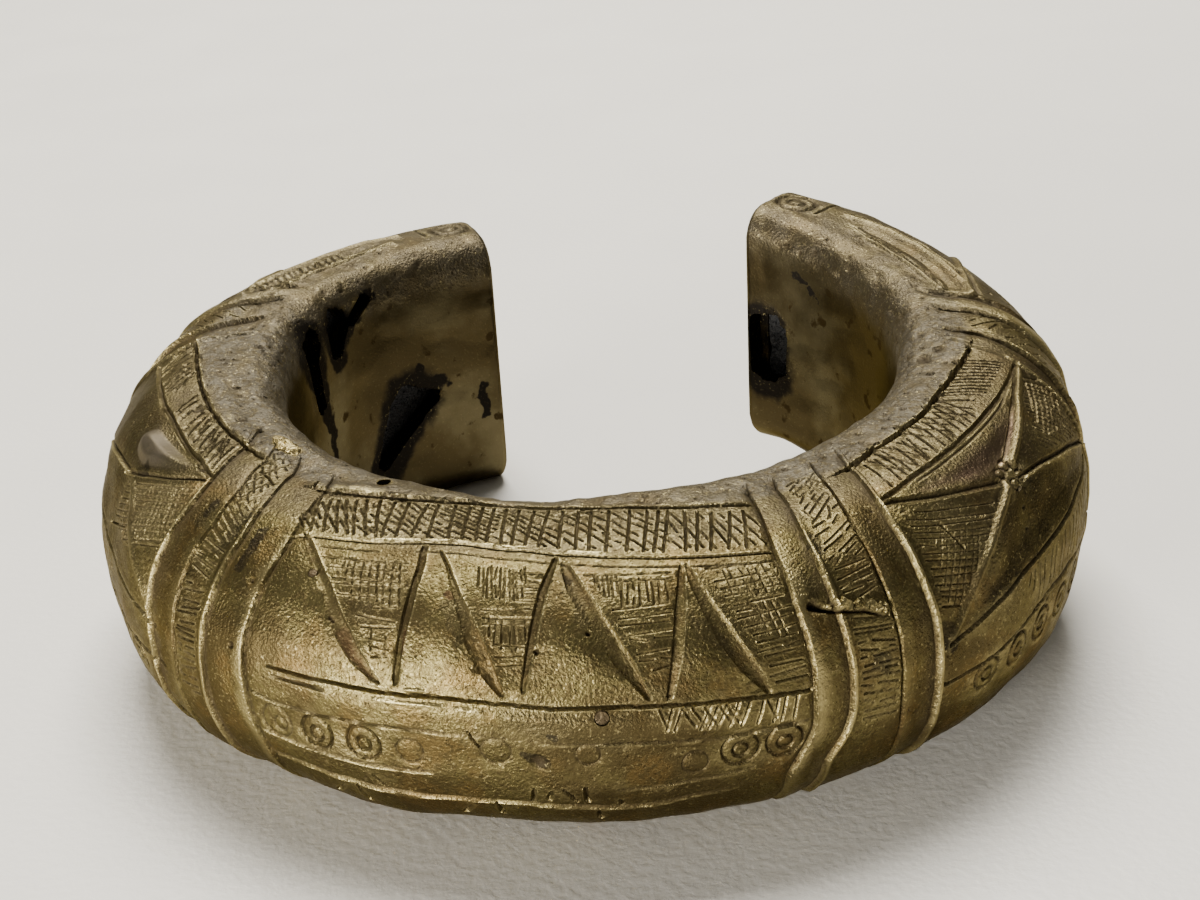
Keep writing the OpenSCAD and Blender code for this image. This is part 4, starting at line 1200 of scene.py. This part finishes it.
class Finish:
    """A material under construction: one Principled shader, and layers of colour laid one over the other."""

    def __init__(self, name, base):
        self.material = bpy.data.materials.new(name)
        self.material.use_nodes = True
        self.tree = self.material.node_tree
        self.shader = self.tree.nodes["Principled BSDF"]
        self.colour = add(self.tree, "ShaderNodeRGB").outputs[0]
        self.colour.default_value = base
        self.rough = BASE_ROUGH

    def effect(self, tree, **values):
        """A shared group with its own values; gives its mask."""
        return add(self.tree, "ShaderNodeGroup", None, values, node_tree=tree).outputs["Mask"]

    def mottled(self, scale, detail, low, high):
        """A mask of mottles: noise of a scale and detail, between two levels."""
        return self.effect(mottle, Scale=scale, Detail=detail, Low=low, High=high)

    def zone(self, name):
        """A point attribute of the mesh."""
        return add(self.tree, "ShaderNodeAttribute", attribute_name=name).outputs["Fac"]

    def stains(self, spots, find, ragged=0.003):
        """The strongest of several stains; find gives the place on the metal for each end of a spot."""
        place = add(self.tree, "ShaderNodeTexCoord").outputs["Object"]
        noise = add(self.tree, "ShaderNodeTexNoise", {"Vector": place}, {"Scale": 420, "Detail": 5})
        shift = add(self.tree, "ShaderNodeVectorMath", {0: noise.outputs["Color"]}, {1: (0.5,) * 3},
                    operation="SUBTRACT")
        moved = add(self.tree, "ShaderNodeVectorMath", {0: shift.outputs[0], 2: place}, {1: (ragged,) * 3},
                    operation="MULTIPLY_ADD")
        mask = None
        for start, end, radius, far_radius in spots:
            values = {"From": find(*start) * MM, "To": find(*end) * MM, "Radius": radius * MM,
                      "Far Radius": far_radius * MM}
            node = add(self.tree, "ShaderNodeGroup", {"Place": moved.outputs[0]}, values, node_tree=stain)
            mask = node.outputs["Mask"] if mask is None else self.maths("MAXIMUM", mask, node.outputs["Mask"])
        return mask

    def feed(self, socket, value):
        """Gives an input a number, or a link from another socket."""
        if isinstance(value, (int, float)):
            socket.default_value = value
        else:
            self.tree.links.new(value, socket)

    def maths(self, operation, a, b, clamp=True):
        """Arithmetic on two sockets or numbers."""
        node = add(self.tree, "ShaderNodeMath", operation=operation, use_clamp=clamp)
        self.feed(node.inputs[0], a)
        self.feed(node.inputs[1], b)
        return node.outputs[0]

    def times(self, a, b, clamp=True):
        """The product of two sockets or numbers."""
        return self.maths("MULTIPLY", a, b, clamp)

    def blend(self, mask, a, b):
        """From one number to another by a mask."""
        node = add(self.tree, "ShaderNodeMix", {"Factor": mask}, data_type="FLOAT")
        self.feed(node.inputs[2], a)
        self.feed(node.inputs[3], b)
        return node.outputs[0]

    def lay(self, mask, colour, rough):
        """A colour over what is there, where the mask says, with its own roughness."""
        links = {"Factor": mask, 6: self.colour}
        self.colour = add(self.tree, "ShaderNodeMix", links, {7: colour}, data_type="RGBA").outputs[2]
        self.rough = self.blend(mask, self.rough, rough)

    def finish(self, height, depth, metal):
        """Joins the layers to the shader: colour, roughness, how metallic it is, and the bump of a height."""
        bump = add(self.tree, "ShaderNodeBump", {"Height": height}, {"Distance": depth, "Strength": 1.0})
        links = {"Base Color": self.colour, "Roughness": self.rough, "Normal": bump.outputs["Normal"]}
        for key, socket in links.items():
            self.tree.links.new(socket, self.shader.inputs[key])
        self.feed(self.shader.inputs["Metallic"], metal)
        return self.material


def on_outside(a, t):
    """A place on the skin by its two angles."""
    return on_skin(a, t)[0]


def on_inner_wall(a, share):
    """A place on the inner wall by its angle and its share of the cuff's height there."""
    return placed(a, 0.0, share * height(a))


def brass_finish():
    """The casting's own finish, from its zones. Layers lie in the order of the list, the last on top."""
    f = Finish("aged_brass", PLAIN_BRASS)
    patches = f.mottled(110, 6, 0.42, 0.62)
    specks = f.mottled(1500, 5, 0.48, 0.62)
    glints = f.mottled(2600, 3, 0.6, 0.7)
    spread = f.mottled(260, 5, 0.35, 0.65)
    crusty = f.mottled(650, 6, 0.42, 0.6)
    wide_pits, fine_pits = f.effect(pits, Scale=1100, Reach=0.24), f.effect(pits, Scale=2300, Reach=0.28)
    bubbles = f.maths("MAXIMUM", wide_pits, fine_pits)
    dirt, bright, inside = f.zone("dirt"), f.zone("bright"), f.zone("inside")
    rim = f.times(f.zone("rim"), f.blend(patches, 1.0, f.blend(spread, 0.45, 1.0)))
    smooth = f.maths("MAXIMUM", f.zone("lens"), f.times(f.zone("pink"), 0.6))
    calm = f.maths("SUBTRACT", 1.0, f.times(f.maths("MAXIMUM", inside, smooth), 0.85))
    copper = f.maths("MAXIMUM", f.zone("copper"), f.stains(COPPER_STAINS, on_outside, 0.0005))
    layers = [
        (patches, BROWN_BRASS, 0.45),
        (f.times(f.mottled(170, 6, 0.5, 0.66), 0.65), WARM_BROWN, 0.42),
        (f.times(specks, 0.75), BROWN_BRASS, 0.46),
        (f.times(f.stains(SMEARS, on_outside), f.blend(spread, 0.25, 0.75)), SMEAR, 0.4),
        # Dull brown, and painted shade along the top of the cuff.
        (f.times(f.zone("dulled_and_shaded"), f.blend(spread, 0.6, 0.95)), DULL_AND_SHADE_BROWN, 0.46),
        # The inner wall's dark brown: patina, and painted shade inside the arm opening.
        (inside, INNER_PATINA_AND_SHADE, 0.36),
        (f.times(inside, f.mottled(75, 6, 0.47, 0.66)), INNER_PALE, 0.4),
        (f.times(inside, f.mottled(420, 4, 0.62, 0.7)), DIRT_BROWN, 0.5),
        (rim, RIM_GREY, 0.5),
        (f.times(rim, crusty), RIM_CRUST, 0.55),
        (f.times(rim, f.times(specks, 0.6)), BROWN_BRASS, 0.6),
        (f.times(f.zone("pink"), f.blend(spread, 0.6, 1.0)), PINK_FIELD, 0.36),
        # The lens: pale grey as a painted highlight.
        (f.times(f.zone("lens"), f.blend(spread, 0.95, 0.6)), LENS_HIGHLIGHT_GREY, 0.52),
        (copper, COPPER_RED, 0.5),
        # Soot, on the right star partly painted shade.
        (f.times(f.zone("soot_and_shade"), f.blend(spread, 0.55, 1.0)), SOOT_AND_SHADE_BLACK, 0.42),
        (f.times(f.stains(OUTER_SOOT, on_outside), f.blend(spread, 0.5, 0.85)), SOOT_AND_SHADE_BLACK, 0.5),
        (f.times(f.stains(INNER_SOOT, on_inner_wall), 0.97), SOOT_AND_SHADE_BLACK, 0.6),
        (f.times(f.times(bubbles, calm), f.blend(spread, 0.3, 0.9)), DIRT_BROWN, 0.6),
        # Painted glints: scattered pale specks of low roughness.
        (f.times(f.times(glints, calm), 0.25), PALE_BRASS, 0.22),
        # Worn bright edges, and the painted highlights of the glint bars.
        (f.times(bright, f.blend(spread, 0.4, 0.9)), PALE_BRASS, 0.24),
        (dirt, DIRT_BROWN, 0.7)]
    for mask, colour, rough in layers:
        f.lay(mask, colour, rough)
    lumps = f.times(crusty, f.blend(rim, 0.1, 1.6))
    grain = f.maths("ADD", f.mottled(3000, 4, 0.25, 0.75), lumps, clamp=False)
    pitted = f.maths("SUBTRACT", grain, bubbles, clamp=False)
    uneven = f.times(pitted, f.blend(spread, 0.7, 1.2), clamp=False)
    dull = f.maths("MAXIMUM", f.times(dirt, 0.7), f.times(rim, 0.3))
    f.shader.inputs["Specular Tint"].default_value = GLOSS_TINT
    metal = f.maths("SUBTRACT", 0.95, f.times(dull, 0.85))
    return f.finish(f.times(uneven, calm, clamp=False), 0.00005, metal)


def plain_finish(name, colours, rough, metal, depth):
    """A mottled and pitted finish of three colours, for the small pieces: plain, mottles and pits."""
    f = Finish(name, colours[0])
    f.lay(f.mottled(500, 5, 0.4, 0.62), colours[1], rough)
    bubbles = f.effect(pits, Scale=1300, Reach=0.3)
    f.lay(bubbles, colours[2], min(rough + 0.15, 1.0))
    grain = f.mottled(1800, 4, 0.25, 0.75)
    return f.finish(f.maths("SUBTRACT", grain, bubbles, clamp=False), depth, metal)


BURNT_CLAY = [(0.028, 0.029, 0.032, 1), (0.045, 0.045, 0.046, 1), (0.015, 0.015, 0.015, 1)]
RUSTED_IRON = [(0.065, 0.046, 0.022, 1), (0.085, 0.06, 0.028, 1), (0.04, 0.028, 0.015, 1)]
YELLOW_BRASS = [(0.4, 0.32, 0.14, 1), (0.3, 0.23, 0.09, 1), (0.06, 0.042, 0.02, 1)]
finishes = {shell: brass_finish(), core: plain_finish("burnt_clay", BURNT_CLAY, 0.9, 0.0, 0.0004),
            pins: plain_finish("rusted_iron", RUSTED_IRON, 0.5, 0.7, 0.00008),
            patch: plain_finish("yellow_brass", YELLOW_BRASS, 0.4, 0.9, 0.00014)}
SHARP = np.radians(42)
for piece, material in finishes.items():
    piece.data.materials.clear()
    piece.data.materials.append(material)
    piece.data.shade_smooth()
    piece.data.set_sharp_from_angle(angle=SHARP)
    even = piece.modifiers.new("even", "WEIGHTED_NORMAL")
    even.keep_sharp, even.mode = True, "FACE_AREA_WITH_ANGLE"
    settle(piece)
print("finishes", [material.name for material in finishes.values()])

# %% [markdown]
# Each dressed piece stands for one solid, which is hidden, and moves with the object's only body.

# %% Stand for the solids
STANDS_FOR = {shell: ("cast_shell", "brass"), core: ("clay_core", "core"), pins: ("core_pins", "pin_iron"),
              patch: ("rim_patch", "patch_brass")}
for piece, (solid, slot) in STANDS_FOR.items():
    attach(piece, "root")
    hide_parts(solid)
    print(piece.name, "stands for", solid, "with", len(piece.data.polygons), "faces")

# %% [markdown]
# A pale sweep carries the cuff: a floor that curves up behind it, so no edge crosses the picture. Metal
# shows what is around it, so the lights are large and soft: one above and behind on the left, which throws
# the shadow forward, one low in front on the left for the glints along the belly, and a weak, wide one at
# the left.

# %% Floor and lights
SWEEP_W, SWEEP_FRONT, SWEEP_BACK, SWEEP_R, SWEEP_TOP = 3.2, -1.2, 1.2, 0.3, 0.5
FLOOR_PALE, FLOOR_SHADE, ROOM_LIGHT = (0.88, 0.857, 0.79, 1), (0.85, 0.827, 0.76, 1), (0.14, 0.136, 0.125, 1)
LIGHT_AIM = Vector((0, 0, 0.02))
LIGHTS = {"above": ((-0.12, 0.52, 1.1), 0.7, 0.7, 33.0, (1.0, 0.965, 0.9)),
          "front_left": ((-0.42, -0.68, 0.09), 0.26, 0.07, 12.0, (1.0, 0.96, 0.9)),
          "left": ((-0.75, -0.65, 0.6), 0.9, 0.7, 0.9, (1.0, 0.97, 0.92))}


def sweep():
    """A floor and a back wall joined by a quarter circle, as one profile carried straight across."""
    turn = np.linspace(0, np.pi / 2, 24)
    depth = np.concatenate([[SWEEP_FRONT], SWEEP_BACK + SWEEP_R * np.sin(turn), [SWEEP_BACK + SWEEP_R]])
    up = np.concatenate([[0], SWEEP_R * (1 - np.cos(turn)), [SWEEP_TOP]])
    left, right = (np.stack([np.full(len(up), x), depth, up], -1) for x in (-SWEEP_W / 2, SWEEP_W / 2))
    n = np.arange(len(up) - 1)
    mesh = bpy.data.meshes.new("sweep")
    mesh.from_pydata(np.concatenate([left, right]).tolist(), [],
                     np.stack([n, n + len(up), n + len(up) + 1, n + 1], -1).tolist())
    mesh.shade_smooth()
    return in_scene("sweep", mesh)


def soft_light(name, place, width, tall, power, colour):
    """A rectangle of light at a place, turned to the cuff."""
    data = bpy.data.lights.new(name, "AREA")
    data.shape = "RECTANGLE"
    data.size, data.size_y, data.energy, data.color = width, tall, power, colour
    light = in_scene(name, data)
    light.location = place
    light.rotation_euler = (LIGHT_AIM - Vector(place)).to_track_quat("-Z", "Y").to_euler()


backdrop = sweep()
f = Finish("pale_floor", FLOOR_PALE)
f.lay(f.mottled(30, 6, 0.3, 0.8), FLOOR_SHADE, 0.55)
backdrop.data.materials.append(f.finish(f.mottled(900, 3, 0.3, 0.7), 0.00002, 0.0))
for name, settings in LIGHTS.items():
    soft_light(name, *settings)
world = bpy.data.worlds.new("room")
world.use_nodes = True
world.node_tree.nodes["Background"].inputs["Color"].default_value = ROOM_LIGHT
bpy.context.scene.world = world
print("stage set with", len(LIGHTS), "lights")
